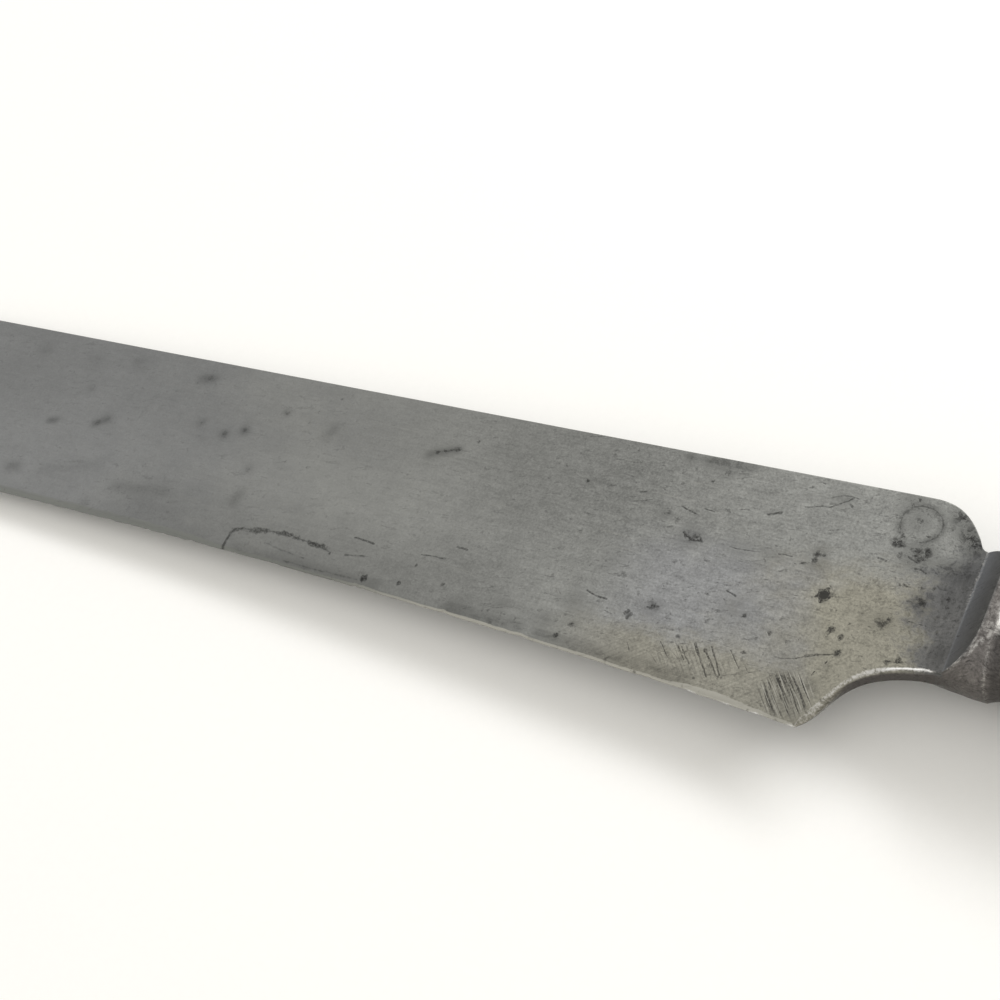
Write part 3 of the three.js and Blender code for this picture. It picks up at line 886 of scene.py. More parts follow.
@dataclass(frozen=True)
class SteelFinish:
    """Old carbon steel: grey patina, pits, stains, flecks, honing scratches and bare edges, with painted
    shade at the neck, the choil's wall and the collar, a painted sheen in the flute, and painted highlights
    and glints on the bolster and the edge.

    Each of the honed patches is a middle, half a width and half a height, and a strength.
    """

    dull: Colour = (0.202, 0.204, 0.199)
    plain: Colour = (0.235, 0.236, 0.22)
    cool: Colour = (0.245, 0.246, 0.245)
    warm: Colour = (0.256, 0.244, 0.198)
    shaded: Colour = (0.116, 0.1155, 0.115)
    # Painted sheen of the flute's steel.
    flute: Colour = (0.25, 0.258, 0.274)
    brown: Colour = (0.138, 0.127, 0.118)
    pit: Colour = (0.032, 0.032, 0.03)
    honed_dull: Colour = (0.172, 0.176, 0.158)
    honed: Colour = (0.385, 0.373, 0.326)
    # Bare metal, also used for the painted highlights on the bolster.
    bare_and_highlit: Colour = (0.5, 0.485, 0.45)
    # Painted glints, near white.
    gleam: Colour = (0.86, 0.85, 0.82)
    metal: float = 0.88
    relief: float = 0.00007
    relief_strength: float = 0.65
    honed_patches: tuple[tuple[Place, Place, float], ...] = (
        ((-13.9, 4.7), (6.6, 2.6), 0.26),
        ((-1.9, 3.3), (3.8, 3.3), 0.9),
    )

    def make(self) -> bpy.types.Material:
        """Builds the material.

        Returns:
            The steel material.
        """
        s = Shader("forged_steel")
        g = SteelGround(s)
        # The wear field holds real wear and painted highlights.
        stains, wear = s.attribute("stains"), s.attribute("wear")
        strokes, glints = self._scratches(s, g)
        dark = self._darkness(s, g, strokes)
        # Bare metal and painted highlights, broken into specks.
        bare_and_highlit = self._bare_and_highlit_specks(s, g, wear)
        # Painted shade darkens the choil's wall, the flute towards its crest and the collar's waist.
        shade = self._shade(s, g, stains) * (1.0 - s.attribute("dim"))
        colour = self._honed_edge(s, g, s.scaled(self._patina(s, g), shade))
        colour = s.mix(glints * 0.3, colour, self.honed)
        colour = s.mix(dark * 0.9, colour, self.pit)
        # Painted glints: the strongest worn and highlit places on the blade turn near white.
        glint_mask = s.ramp(wear, 0.7, 0.92) * s.ramp(g.along, 14.5, 13.5) * s.ramp(g.grit, 0.3, 0.5)
        colour = s.mix(bare_and_highlit, colour, s.mix(glint_mask, self.bare_and_highlit, self.gleam))
        height = g.brush * 0.3 + g.grit * 0.4 + g.mottle * 0.3 + g.grains * 0.3 - dark * 0.9 - stains * 0.3
        return s.finish(
            Base_Color=colour,
            Metallic=self.metal,
            Roughness=s.clamp(0.44 + 0.1 * g.cloud + 0.3 * dark + 0.1 * stains - 0.12 * bare_and_highlit),
            Normal=s.bump(height, self.relief, self.relief_strength),
        )

    def _patina(self, s: Shader, g: SteelGround) -> Sock:
        """Mixes the patina: dull to the tip, cool and then warm to the heel, dark at the neck, which is
        partly painted shade, with a painted sheen in the flute.

        Args:
            s: The material.
            g: Its ground.

        Returns:
            The colour.
        """
        level = g.across + (g.mottle - 0.5) * 8.0
        colour = s.mix(s.ramp(g.along + (g.cloud - 0.5) * 60.0, -112.0, -58.0), self.dull, self.plain)
        cool = s.ramp(g.along, -32.0, -20.0) * s.ramp(level, 23.0, 16.0)
        colour = s.mix(cool * 0.8, colour, self.cool)
        warmth = s.ramp(g.along + (g.cloud - 0.5) * 34.0, -13.0, 1.0) * s.ramp(level, 24.0, 17.0)
        colour = s.mix(s.most(warmth, g.heel * 0.85), colour, self.warm)
        # The neck darkens where the face rises to the bolster: partly patina, partly painted shade.
        colour = s.mix(g.neck * 0.9, colour, self.shaded)
        # Painted sheen: the flute lighter and bluer beside the ridge and near the spine.
        colour = s.mix(s.attribute("flute"), colour, self.flute)
        return s.mix(s.attribute("brown"), colour, self.brown)

    @staticmethod
    def _shade(s: Shader, g: SteelGround, stains: Sock) -> Sock:
        """Adds up what makes the steel lighter or darker: its grain, four broad zones and stains.

        Args:
            s: The material.
            g: Its ground.
            stains: Strength of the stains.

        Returns:
            A factor for the colour, about 1.
        """
        along, across = g.along, g.across
        fan = s.noise(s.stretch(g.place, (150.0, 4300.0, 1.0), -37.0), 1.0, 3.0, 0.6)
        streaks = s.noise(s.stretch(g.place, (1500.0, 230.0, 1.0)), 1.0, 4.0, 0.68)
        grain = (g.mottle - 0.5) * 0.8 + (g.grit - 0.5) * (1.15 + 0.3 * g.foot)
        grain = grain + (g.brush - 0.5) * (0.45 - 0.3 * g.foot)
        grain = grain + (g.grains - 0.5) * (0.8 + 1.0 * g.foot) + (fan - 0.5) * g.heel * 0.7
        grain = grain + (streaks - 0.5) * g.neck * s.ramp(along, 14.9, 14.5)
        grain = grain * (1.0 - 0.75 * s.ramp(s.attribute("flute"), 0.0, 0.12))
        shade = 1.0 + (0.3 + 0.7 * g.crisp) * grain + (g.cloud - 0.5) * 0.3
        spine = s.ramp(across, 6.0, 26.0) * s.ramp(along, -58.0, -44.0) * s.ramp(along, -20.0, -31.0)
        belly = s.ramp(across, 16.0, 6.0) * s.ramp(along, -110.0, -97.0) * s.ramp(along, -34.0, -46.0)
        upper = s.ramp(across, 14.0, 26.0) * s.ramp(along, -14.0, -24.0)
        lower = s.ramp(across, 22.0, 12.0) * s.ramp(along, -95.0, -115.0)
        shade = shade - 0.14 * spine - 0.17 * belly - 0.08 * upper + 0.06 * lower
        grainy = s.ramp(g.grains + (g.grit - 0.5) * 0.6, 0.42, 0.6)
        return shade - stains * (0.32 + g.crisp * (0.85 * grainy - 0.19) + (g.mottle - 0.5) * 0.6)

    def _darkness(self, s: Shader, g: SteelGround, strokes: Sock) -> Sock:
        """Gathers the dark marks: flecks, scabs, honing strokes, lines, pits and cracks.

        Args:
            s: The material.
            g: Its ground.
            strokes: Darkness of the honing strokes.

        Returns:
            Darkness from 0 to 1.
        """
        pits = s.attribute("pits")
        flecks = self._flecks(s, g) * (0.24 + 0.41 * g.crisp)
        scabs = s.ramp(g.grains + (g.mottle - 0.5) * 0.9 + (g.grit - 0.5) * 0.5, 0.53, 0.68)
        scabs = scabs * g.foot * s.ramp(g.along, 15.0, 14.0)
        breaks = 0.55 + 0.45 * s.ramp(g.grit, 0.62, 0.42)
        ragged = (s.noise(g.place, 1250.0, 3.0, 0.65) - 0.5) * 1.3 + (g.grit - 0.5) * 0.8
        wobble = s.vector("SUBTRACT", s.noise(g.place, 480.0, 3.0, 0.6, colour=True), (0.5, 0.5, 0.5))
        spot = s.scaled(g.place, 1.0 / MM)
        bent = s.vector("ADD", spot, s.scaled(wobble, 1.2))
        swayed = s.vector("ADD", spot, s.scaled(wobble, 0.5))
        deep = self._marks(s, bent, pits, FRONT_CRACKS, ragged)
        deep = deep * s.most(breaks, s.ramp(pits, 0.7, 1.0)) * (0.3 + 0.7 * s.ramp(g.along, -100.0, -62.0))
        faint = self._marks(s, swayed, 0.0, FRONT_LINES, ragged * 0.4) * 0.8
        return s.most(s.most(faint, s.most(s.most(flecks, scabs * 0.42), strokes)) * breaks, deep)

    def _honed_edge(self, s: Shader, g: SteelGround, colour: Sock) -> Sock:
        """Lays the honed bevel over a colour, with a torn border that softens towards the tip.

        Args:
            s: The material.
            g: Its ground.
            colour: The steel's colour.

        Returns:
            The colour with the bevel.
        """
        honed = s.mix(s.ramp(g.along, -70.0, -46.0), self.honed_dull, self.honed)
        tip = s.ramp(g.along, -58.0, -78.0)
        torn = s.attribute("honing") + (g.brush - 0.5) * 0.9 + (g.grit - 0.5) * 0.5
        edge = s.ramp(torn, 0.35 - 0.2 * tip, 0.75 + 0.4 * tip)
        return s.mix(edge * 0.85, colour, s.scaled(honed, 0.8 + 0.5 * g.brush))

    @staticmethod
    def _bare_and_highlit_specks(s: Shader, g: SteelGround, wear: Sock) -> Sock:
        """Breaks the worn places and the painted highlights up into specks of bare metal and highlight,
        softer on the bolster.

        Args:
            s: The material.
            g: Its ground.
            wear: How worn each place is, and how strong its painted highlight.

        Returns:
            Values from 0 to 1.
        """
        bolster = s.ramp(g.along, 14.5, 16.5)
        specks = (g.grit - 0.5) * (2.1 - 1.1 * bolster) + (g.grains - 0.5) * 0.9
        return s.ramp(wear + specks * s.ramp(wear, 0.05, 0.35), 0.15, 0.95)

    @staticmethod
    def _marks(s: Shader, place: Sock, start: Value, trails: Sequence[Trail], ragged: Sock) -> Sock:
        """Adds cones over trails to what is there, and breaks up their outlines.

        Args:
            s: The material.
            place: Knife places in millimetres.
            start: Marks stored on the mesh.
            trails: Marks drawn here.
            ragged: Noise about 0.

        Returns:
            Darkness from 0 to 1.
        """
        marks = start
        for trail in trails:
            gap = s.run_gap(place, trail.run)
            marks = s.most(marks, trail.depth - gap * (0.5 * trail.depth / trail.radius))
        return s.ramp(marks + ragged * s.ramp(marks, 0.04, 0.3), 0.36, 0.72)

    @staticmethod
    def _flecks(s: Shader, g: SteelGround) -> Sock:
        """Short dark dashes along the blade and scattered specks, gathered in patches.

        Args:
            s: The material.
            g: Its ground.

        Returns:
            Darkness from 0 to 1.
        """
        dash_place = s.stretch(g.place, (420.0, 1700.0, 1.0), -9.0)
        dashes = s.ramp(s.noise(dash_place, 1.0, 3.0, 0.6, 0.8), 0.56, 0.7)
        specks = s.ramp(s.noise(g.place, 1050.0, 2.0, 0.5, 0.4), 0.6, 0.74)
        patches = s.ramp(g.mottle + (g.cloud - 0.5) * 0.4, 0.42, 0.6)
        return s.most(dashes * (0.25 + 0.75 * patches), specks * patches)

    def _scratches(self, s: Shader, g: SteelGround) -> tuple[Sock, Sock]:
        """Steep strokes left by honing in oval patches, and fine bright ones along the blade.

        Args:
            s: The material.
            g: Its ground.

        Returns:
            The dark strokes and the bright ones.
        """
        fine = s.noise(s.stretch(g.place, (50.0, 4800.0, 1.0), 3.0), 1.0, 2.0, 0.5)
        gate = s.noise(s.stretch(g.place, (90.0, 350.0, 1.0)), 1.0, 2.0, 0.5)
        glints = s.ramp(fine, 0.62, 0.72) * s.ramp(gate, 0.5, 0.62)
        glints = glints * (0.2 + 0.8 * g.crisp) * s.ramp(g.along, 9.0, 4.0)
        steep_place = s.stretch(g.place, (170.0, 3600.0, 1.0), 53.0)
        steep = s.ramp(s.noise(steep_place, 1.0, 2.0, 0.55), 0.45, 0.6)
        light = s.ramp(s.noise(steep_place, 1.37, 2.0, 0.55), 0.5, 0.62)
        strokes: Value = 0.0
        for (u, v), (wide, tall), depth in self.honed_patches:
            away = (((g.along - u) / wide) ** 2.0 + ((g.across - v) / tall) ** 2.0) ** 0.5
            filed = s.ramp(away, 1.0, 0.6)
            strokes = s.most(strokes, steep * filed * depth)
            glints = s.most(glints, light * filed * depth * 2.8)
        return strokes, glints


@dataclass(frozen=True)
class WoodFinish:
    """Dark oiled hardwood with long open pores, rubbed smooth, and grime round the rivets."""

    deep: Colour = (0.028, 0.014, 0.009)
    brown: Colour = (0.085, 0.042, 0.024)
    light: Colour = (0.15, 0.08, 0.045)
    relief: float = 0.00009
    relief_strength: float = 0.5

    def make(self) -> bpy.types.Material:
        """Builds the material.

        Returns:
            The wood material.
        """
        s = Shader("scale_wood")
        place = s.object_places()
        sway = s.noise(s.stretch(place, (9.0, 30.0, 30.0)), 1.0, 2.0)
        rings = s.noise(s.stretch(place, (14.0, 330.0, 330.0)), 1.0, 4.0, 0.6)
        pores = s.noise(s.stretch(place, (160.0, 3600.0, 3600.0)), 1.0, 2.0, 0.6)
        fibre = s.noise(s.stretch(place, (60.0, 1500.0, 1500.0)), 1.0, 3.0, 0.6)
        tone = s.ramp(rings + (sway - 0.5) * 0.5, 0.32, 0.72)
        colour = s.mix(tone, self.deep, self.brown)
        colour = s.mix(s.ramp(fibre, 0.5, 0.8) * 0.5, colour, self.light)
        rubbed = s.attribute("rubbed")
        colour = s.mix(rubbed * s.ramp(sway + fibre * 0.4, 0.5, 0.9) * 0.5, colour, self.light)
        pore = s.ramp(pores, 0.6, 0.72)
        grime = s.attribute("grime")
        colour = s.mix(s.clamp(pore * 0.7 + grime * 0.85), colour, self.deep)
        height = fibre * 0.3 - pore * 0.7 + sway * 0.2
        return s.finish(
            Base_Color=colour,
            Roughness=0.42 + 0.2 * pore + 0.12 * rings - 0.08 * rubbed,
            Normal=s.bump(height, self.relief, self.relief_strength),
        )


@dataclass(frozen=True)
class BrassFinish:
    """Tarnished brass, filed flush with the wood and rubbed bright in the middle."""

    bright: Colour = (0.52, 0.37, 0.15)
    dull: Colour = (0.2, 0.135, 0.06)
    relief: float = 0.00003
    relief_strength: float = 0.5

    def make(self) -> bpy.types.Material:
        """Builds the material.

        Returns:
            The brass material.
        """
        s = Shader("rivet_brass")
        place = s.object_places()
        cloud = s.noise(place, 420.0, 4.0, 0.6)
        file_marks = s.noise(s.stretch(place, (350.0, 5200.0, 350.0), 24.0), 1.0, 2.0, 0.5)
        tarnish = s.ramp(cloud + (file_marks - 0.5) * 0.3, 0.38, 0.7)
        colour = s.mix(tarnish, self.bright, self.dull)
        return s.finish(
            Base_Color=colour,
            Metallic=1.0,
            Roughness=0.3 + 0.25 * tarnish,
            Normal=s.bump(file_marks, self.relief, self.relief_strength),
        )


# The forging: blade, bolster and tang


@dataclass(frozen=True)
class Handle:
    """The handle's side view, shared by the tang and the scales."""

    axis: float = 18.15
    front_half: float = 8.45
    half_thick: float = 7.0
    butt_low: Place = (130.0, 6.85)
    butt_high: Place = (135.0, 27.45)
    end: Place = (150.0, 17.15)
    rivets: tuple[Place, ...] = ((46.0, 18.15), (87.0, 17.55), (127.0, 17.15))
    rest_place: Triple = (66.5, 17.85, -7.0)

    def curves(self, front: float, steps: int) -> list[np.ndarray]:
        """Draws the sides as cubic Bezier curves.

        Args:
            front: Where the handle starts.
            steps: Points on each curve.

        Returns:
            The lower side, lower butt, upper butt and upper side.
        """
        low, high = self.axis - self.front_half, self.axis + self.front_half
        (lu, lv), (hu, hv), (eu, ev) = self.butt_low, self.butt_high, self.end
        return [
            bezier((front, low), (front + 28, low + 1.3), (front + 64, lv + 0.8), (lu, lv), steps=steps),
            bezier((lu, lv), (lu + 12, lv - 0.3), (eu, ev - 6), (eu, ev), steps=steps),
            bezier((eu, ev), (eu, ev + 6), (hu + 8, hv), (hu, hv), steps=steps),
            bezier((hu, hv), (hu - 34, hv), (front + 34, high - 1.2), (front, high), steps=steps),
        ]

    def run(self, front: float, steps: int) -> np.ndarray:
        """One open run from the lower front corner round the butt to the upper one."""
        parts = self.curves(front, steps)
        return np.concatenate([parts[0], *(part[1:] for part in parts[1:])])


@dataclass(frozen=True)
class Forging:
    """Blade, bolster and tang in one surface: sections carried along the knife's length.

    Attributes hold sizes in millimetres. Pulls are the inner control points of a curve, and leads
    and shares say how far they stand from its ends. A wave of the edge is a size, a pace and a
    start, and the edge's glints are places along it with their half widths. Margins and fades are
    given for the tip and then for the heel. The knuckle is a point of a line that rises over the
    bolster's side. Steps and stations set how finely the surface is divided.
    """

    handle: Handle
    length: float = 184.0
    spine: float = 32.35
    spine_drop: float = 0.25
    tip_height: float = 10.0
    tip_spine_run: float = 42.0
    tip_spine_pull: float = 20.0
    tip_spine_share: float = 0.45
    tip_belly_run: float = 45.0
    tip_belly_pull: float = 5.5
    tip_belly_share: float = 0.4
    honed_rise: float = 4.0
    honed_run: float = 105.0
    heel_half: float = 1.2
    tip_half: float = 0.5
    edge_half: float = 0.15
    bevel_half: float = 0.05
    bevel_least: float = 0.27
    bevel_heel: float = 0.45
    bevel_tip: float = 0.65
    bevel_wave: float = 0.04
    bevel_wave_pace: float = 0.4
    bevel_heel_at: float = -9.5
    bevel_heel_reach: float = 5.0
    bevel_tip_from: float = -68.0
    bevel_tip_to: float = -98.0
    grind: float = 10.0
    spine_round: float = 0.25
    edge_round: float = 0.06
    shoulder: float = 7.0
    shoulder_lead: float = 11.15
    shoulder_pull: Place = (12.25, 29.8)
    shoulder_break: Place = (13.2, 28.2)
    neck_pull: Place = (13.7, 27.4)
    neck_lead: float = 0.9
    choil_pulls: tuple[Place, Place] = ((4.07, 2.6), (1.55, 8.52))
    choil_end: float = 13.2
    choil_drop: float = 0.05
    choil_round: float = 0.6
    heel_round: float = 0.7
    heel_round_at: float = 1.6
    ridge: float = 14.8
    ridge_width: float = 0.15
    ridge_lean: float = 0.05
    lean_pivot: float = 21.0
    neck_half: float = 8.4
    neck_drop: float = 0.4
    cove_start: float = 11.0
    cove_rise: float = 1.0
    flute_end: float = 17.9
    flute_curve: float = 0.05
    rim: float = 18.9
    rim_half: float = 8.86
    rim_thick: float = 6.6
    rim_flat: float = 3.0
    rim_lead: float = 1.5
    rim_drop: float = 0.05
    underside_half: float = 0.4
    rear_thick: float = 6.9
    rear: float = 27.0
    waist: float = 0.9
    waist_leads: Place = (1.3, 4.0)
    waist_drop: float = 0.2
    waist_thin: float = 1.0
    tang_half: float = 1.6
    tang_round: float = 0.2
    pin_hole: float = 1.75
    round_height: float = 4.2
    round_thick: float = 4.5
    tip_gap: float = 0.3
    nick_seed: int = 11
    nick_count: int = 70
    nick_least: float = 0.03
    nick_more: float = 0.12
    nick_widths: Place = (0.25, 0.8)
    nick_margins: Place = (6.0, 1.0)
    edge_waves: tuple[Triple, ...] = ((0.04, 0.31, 0.0), (0.03, 0.83, 1.0))
    edge_fades: Place = (4.0, 5.0)
    edge_glints: tuple[Place, ...] = ((-13.0, 1.0), (-8.5, 0.8), (-4.8, 1.2), (-0.3, 0.8))
    knuckle: Place = (17.5, 11.65)
    knuckle_rise: float = 1.6
    crease: float = 38.0
    front_steps: int = 88
    back_steps: int = 40
    corner_steps: int = 12
    face_crowding: float = 1.25
    tip_stations: int = 52
    blade_stations: int = 316
    heel_stations: int = 22
    shoulder_stations: int = 34
    flute_stations: int = 26
    land_stations: int = 8
    collar_stations: int = 26
    tang_steps: int = 40
    hole_sides: int = 32
    spine_line: Outline = field(init=False)
    edge_line: Outline = field(init=False)
    bolster_line: Outline = field(init=False)

    def __post_init__(self) -> None:
        """Draws the three outlines from the sizes."""
        tip, axis = -self.length, self.handle.axis
        top = self.spine - self.spine_drop
        point = (tip, self.tip_height)
        neck = (self.ridge, axis + self.neck_half - self.neck_drop)
        spine_from = (tip + self.tip_spine_run, top)
        spine_pull = (tip + self.tip_spine_run * self.tip_spine_share, top)
        shoulder_lead = (self.shoulder_lead, self.spine)
        spine_line = Outline(
            bezier(point, (tip, self.tip_spine_pull), spine_pull, spine_from),
            bezier(spine_from, (self.shoulder, self.spine)),
            bezier((self.shoulder, self.spine), shoulder_lead, self.shoulder_pull, self.shoulder_break),
            bezier(self.shoulder_break, self.neck_pull, (neck[0] - self.neck_lead, neck[1]), neck),
        )
        belly = (tip + self.tip_belly_run, self.honed_rise)
        belly_pull = (tip + self.tip_belly_run * self.tip_belly_share, self.honed_rise)
        honed = (-self.honed_run, self.honed_rise)
        choil = (self.choil_end, axis - self.neck_half - self.choil_drop)
        edge_line = Outline(
            bezier(point, (tip, self.tip_belly_pull), belly_pull, belly),
            bezier(belly, honed),
            bezier(honed, (-self.honed_run / 2, self.honed_rise), (0.0, 0.0)),
            bezier((0.0, 0.0), *self.choil_pulls, choil),
            bezier(choil, (self.ridge, axis - self.neck_half)),
        )
        crest, rear = (self.rim, self.rim_half), (self.rear, self.handle.front_half)
        lead = self.rim_lead
        rise = ((self.ridge + lead, self.neck_half), (self.rim - lead, self.rim_half - self.rim_drop))
        low = self.rim_half - self.waist
        near, far = self.waist_leads
        fall = ((self.rim + near, low), (self.rim + far, low - self.waist_drop))
        bolster_line = Outline(
            bezier((self.ridge, self.neck_half), *rise, crest),
            bezier(crest, *fall, rear),
        )
        object.__setattr__(self, "spine_line", spine_line)
        object.__setattr__(self, "edge_line", edge_line)
        object.__setattr__(self, "bolster_line", bolster_line)

    def nicks(self, u: np.ndarray) -> np.ndarray:
        """How far the worn edge is eaten back: a slow wave plus small bell-shaped nicks.

        Args:
            u: Stations.

        Returns:
            Heights to add to the edge.
        """
        draw = np.random.default_rng(self.nick_seed)
        from_tip, from_heel = self.nick_margins
        places = draw.uniform(-self.length + from_tip, -from_heel, self.nick_count)
        depths = self.nick_least + self.nick_more * draw.random(self.nick_count) ** 3
        widths = draw.uniform(*self.nick_widths, self.nick_count)
        nicks = depths * bell(u[:, None] - places, widths)
        wave = sum(size * np.sin(u * pace + start) for size, pace, start in self.edge_waves)
        tip_fade, heel_fade = self.edge_fades
        fade = smoothstep(0.0, heel_fade, -u) * smoothstep(0.0, tip_fade, u + self.length)
        return (nicks.max(axis=1) + np.abs(wave)) * fade

    def bevel_width(self, u: np.ndarray) -> np.ndarray:
        """Height of the honed bevel: thin in the middle, wider to the tip and before the heel.

        Args:
            u: Stations.

        Returns:
            Heights above the edge.
        """
        heel = self.bevel_heel * bell(u - self.bevel_heel_at, self.bevel_heel_reach)
        tip = self.bevel_tip * smoothstep(self.bevel_tip_from, self.bevel_tip_to, u)
        return self.bevel_least + heel + tip + self.bevel_wave * np.sin(u * self.bevel_wave_pace)

    def cove(self, u: np.ndarray) -> np.ndarray:
        """The square-law rise of the face in front of the ridge."""
        return self.cove_rise * np.clip((u - self.cove_start) / (self.ridge - self.cove_start), 0.0, 1.0) ** 2

    def face(self, u: np.ndarray, v: np.ndarray, edge: np.ndarray) -> np.ndarray:
        """Half thickness of the blade.

        A quarter ellipse rises from the edge over the depth of the grind to the spine's half
        thickness, which falls in a straight line to the tip. Below the bevel's top the ellipse
        gives way to a straight slope, and in front of the bolster the cove adds to it.

        Args:
            u: Lengths, (rows, 1).
            v: Heights, (rows, columns).
            edge: Height of the cutting edge, (rows, 1).

        Returns:
            Half thicknesses (rows, columns).
        """
        along = np.clip(-u / self.length, 0.0, 1.0)
        spine = self.heel_half + (self.tip_half - self.heel_half) * along

        def ellipse(above: np.ndarray) -> np.ndarray:
            """The convex grind at a height above the edge."""
            short = 1.0 - np.clip(above / self.grind, 0.0, 1.0)
            return self.edge_half + (spine - self.edge_half) * np.sqrt(1.0 - short**2)

        above = np.maximum(v - edge, 0.0)
        width = self.bevel_width(u)
        slope = self.bevel_half + (ellipse(width) - self.bevel_half) * above / width
        is_bevel = (above < width) & (u < 0.0)
        uneven = 0.006 * np.sin(u * 0.37 + v * 0.21) + 0.005 * np.sin(u * 0.19 - v * 0.43 + 1.7)
        return np.where(is_bevel, slope, ellipse(above)) + self.cove(u) + uneven * smoothstep(2.0, 9.0, above)

    def lean(self, u: np.ndarray, v: np.ndarray) -> np.ndarray:
        """How far the ridge and the flute lean, in proportion to the height above a pivot."""
        near = smoothstep(self.cove_start, self.ridge, u) - smoothstep(self.flute_end, self.rim, u)
        return self.ridge_lean * near * (v - self.lean_pivot)

    def blade_rows(self, u: np.ndarray, steps: int) -> tuple[np.ndarray, np.ndarray]:
        """One side of the blade's sections, edge to spine, with rounded corners.

        Next to the bolster the lower corner turns into the bolster's elliptical one.

        Args:
            u: Stations.
            steps: Divisions of the face.

        Returns:
            Heights and half thicknesses, (stations, points).
        """
        low = (self.edge_line(u) + self.nicks(u))[:, None]
        high = self.spine_line(u)[:, None]
        u = u[:, None]
        edge = np.where(u < 0.0, low, 0.0)
        eased = smoothstep(0.0, 3.0, u) * smoothstep(self.ridge, self.choil_end - 1.5, u)
        choil_round = self.spine_round + (self.choil_round - self.spine_round) * eased
        choil_round = choil_round + self.heel_round * bell(u - self.heel_round_at, self.heel_round_at)
        low_round = np.minimum(np.where(u > 0.0, choil_round, self.edge_round), (high - low) / 4)
        high_round = np.minimum(self.spine_round, (high - low) / 4)
        turn = np.linspace(0.0, math.pi / 2, self.corner_steps + 1)

        def corner(end: np.ndarray, radius: np.ndarray, inward: float) -> tuple[np.ndarray, np.ndarray]:
            """Rounds a corner: a quarter circle from the end of the section on to the face.

            Args:
                end: Height of the section's end.
                radius: Radius of the corner.
                inward: 1 if the section lies above the end, -1 if below.

            Returns:
                Heights and half thicknesses.
            """
            face = self.face(u, end + inward * radius, edge)
            w = np.maximum(face - radius * (1.0 - np.sin(turn)), face * np.sin(turn))
            return end + inward * radius * (1.0 - np.cos(turn)), np.maximum(w, self.bevel_half / 2)

        share = (np.arange(1, steps) / steps) ** self.face_crowding
        v = low + low_round + (high - high_round - low - low_round) * share
        low_v, low_w = corner(low, low_round, 1.0)
        high_v, high_w = corner(high, high_round, -1.0)
        near = smoothstep(self.choil_end - 1.0, self.ridge, u)
        flat, tall = self.underside_half, self.neck_half - self.rim_flat
        deep = self.rim_thick - flat
        reach = np.arcsin(np.clip((low_w[:, -1:] - flat) / deep, 0.0, 1.0)) * turn / turn[-1]
        low_v = low_v + near * (low + tall * (1.0 - np.cos(reach)) - low_v)
        low_w = low_w + near * (flat + deep * np.sin(reach) - low_w)
        heights = np.concatenate([low_v, v, high_v[:, ::-1]], axis=1)
        return heights, np.concatenate([low_w, self.face(u, v, edge), high_w[:, ::-1]], axis=1)

    def flute(self, u: np.ndarray) -> np.ndarray:
        """Half thickness left by the flute, a parabola from the ridge to the rim.

        Args:
            u: Stations.

        Returns:
            Half thicknesses.
        """
        t = (u - self.ridge) / (self.flute_end - self.ridge)
        start = self.heel_half + self.cove_rise
        return start + (self.rim_thick - start) * (t * (1 - self.flute_curve) + t * t * self.flute_curve)

    def bolster_rows(self, u: np.ndarray, steps: int) -> tuple[np.ndarray, np.ndarray]:
        """One side of the bolster's sections.

        A section is an oblong with elliptical corners, nearly an oval at the rim. The flute
        cuts it off flat, so that both surfaces meet in an arched crest. Next to the ridge the
        upper half is drawn in a little.

        Args:
            u: Stations.
            steps: Divisions of the face.

        Returns:
            Heights and half thicknesses, (stations, points).
        """
        half = self.bolster_line(u)[:, None]
        u = u[:, None]
        upper = 1.0 - self.neck_drop * smoothstep(self.rim, self.ridge, u) / half
        back = smoothstep(self.rim, self.rear, u)
        waist = np.where(u > self.rim, np.sin(math.pi * (u - self.rim) / (self.rear - self.rim)), 0.0)
        thick = self.rim_thick + (self.rear_thick - self.rim_thick) * back - self.waist_thin * waist
        tall = (half - self.rim_flat) * (1 - back) + self.round_height * back
        deep = (thick - self.underside_half) * (1 - back) + self.round_thick * back
        face = np.minimum(self.flute(u), thick)
        reach = np.arcsin(np.clip((face - thick + deep) / deep, 0.0, 1.0))
        turn = reach * np.linspace(0.0, 1.0, self.corner_steps + 1)
        corner_v = half - tall + tall * np.cos(turn)
        corner_w = thick - deep + deep * np.sin(turn)
        crest = corner_v[:, -1:]
        v = crest * ((1.0 + upper) * np.linspace(0.0, 1.0, steps + 1)[1:-1] - 1.0)
        heights = np.concatenate([-corner_v, v, upper * corner_v[:, ::-1]], axis=1)
        widths = np.concatenate([corner_w, np.broadcast_to(face, v.shape), corner_w[:, ::-1]], axis=1)
        return self.handle.axis + heights, widths

    def stations(self) -> tuple[np.ndarray, np.ndarray]:
        """Places the sections, close where the outline turns.

        Returns:
            Stations of the blade and of the bolster.
        """
        tip, tip_end = -self.length + self.tip_gap, -self.length + self.tip_belly_run
        blade = np.concatenate([
            [tip],
            spread(tip, tip_end, self.tip_stations, 2.0),
            spread(tip_end, 0.0, self.blade_stations),
            spread(0.0, self.shoulder, self.heel_stations),
            spread(self.shoulder, self.ridge - self.ridge_width, self.shoulder_stations),
        ])
        bolster = np.concatenate([
            [self.ridge],
            spread(self.ridge, self.flute_end, self.flute_stations, 0.7),
            spread(self.flute_end, self.rim, self.land_stations),
            spread(self.rim, self.rear, self.collar_stations),
        ])
        return blade, bolster

    def side_rows(self, steps: int) -> tuple[np.ndarray, np.ndarray, np.ndarray]:
        """All sections of one side.

        Args:
            steps: Divisions of the face.

        Returns:
            Stations (rows,), and heights and half thicknesses (rows, points).
        """
        blade, bolster = self.stations()
        parts = [self.blade_rows(blade, steps), self.bolster_rows(bolster, steps)]
        heights, widths = (np.concatenate(group) for group in zip(*parts))
        return np.concatenate([blade, bolster]), heights, widths

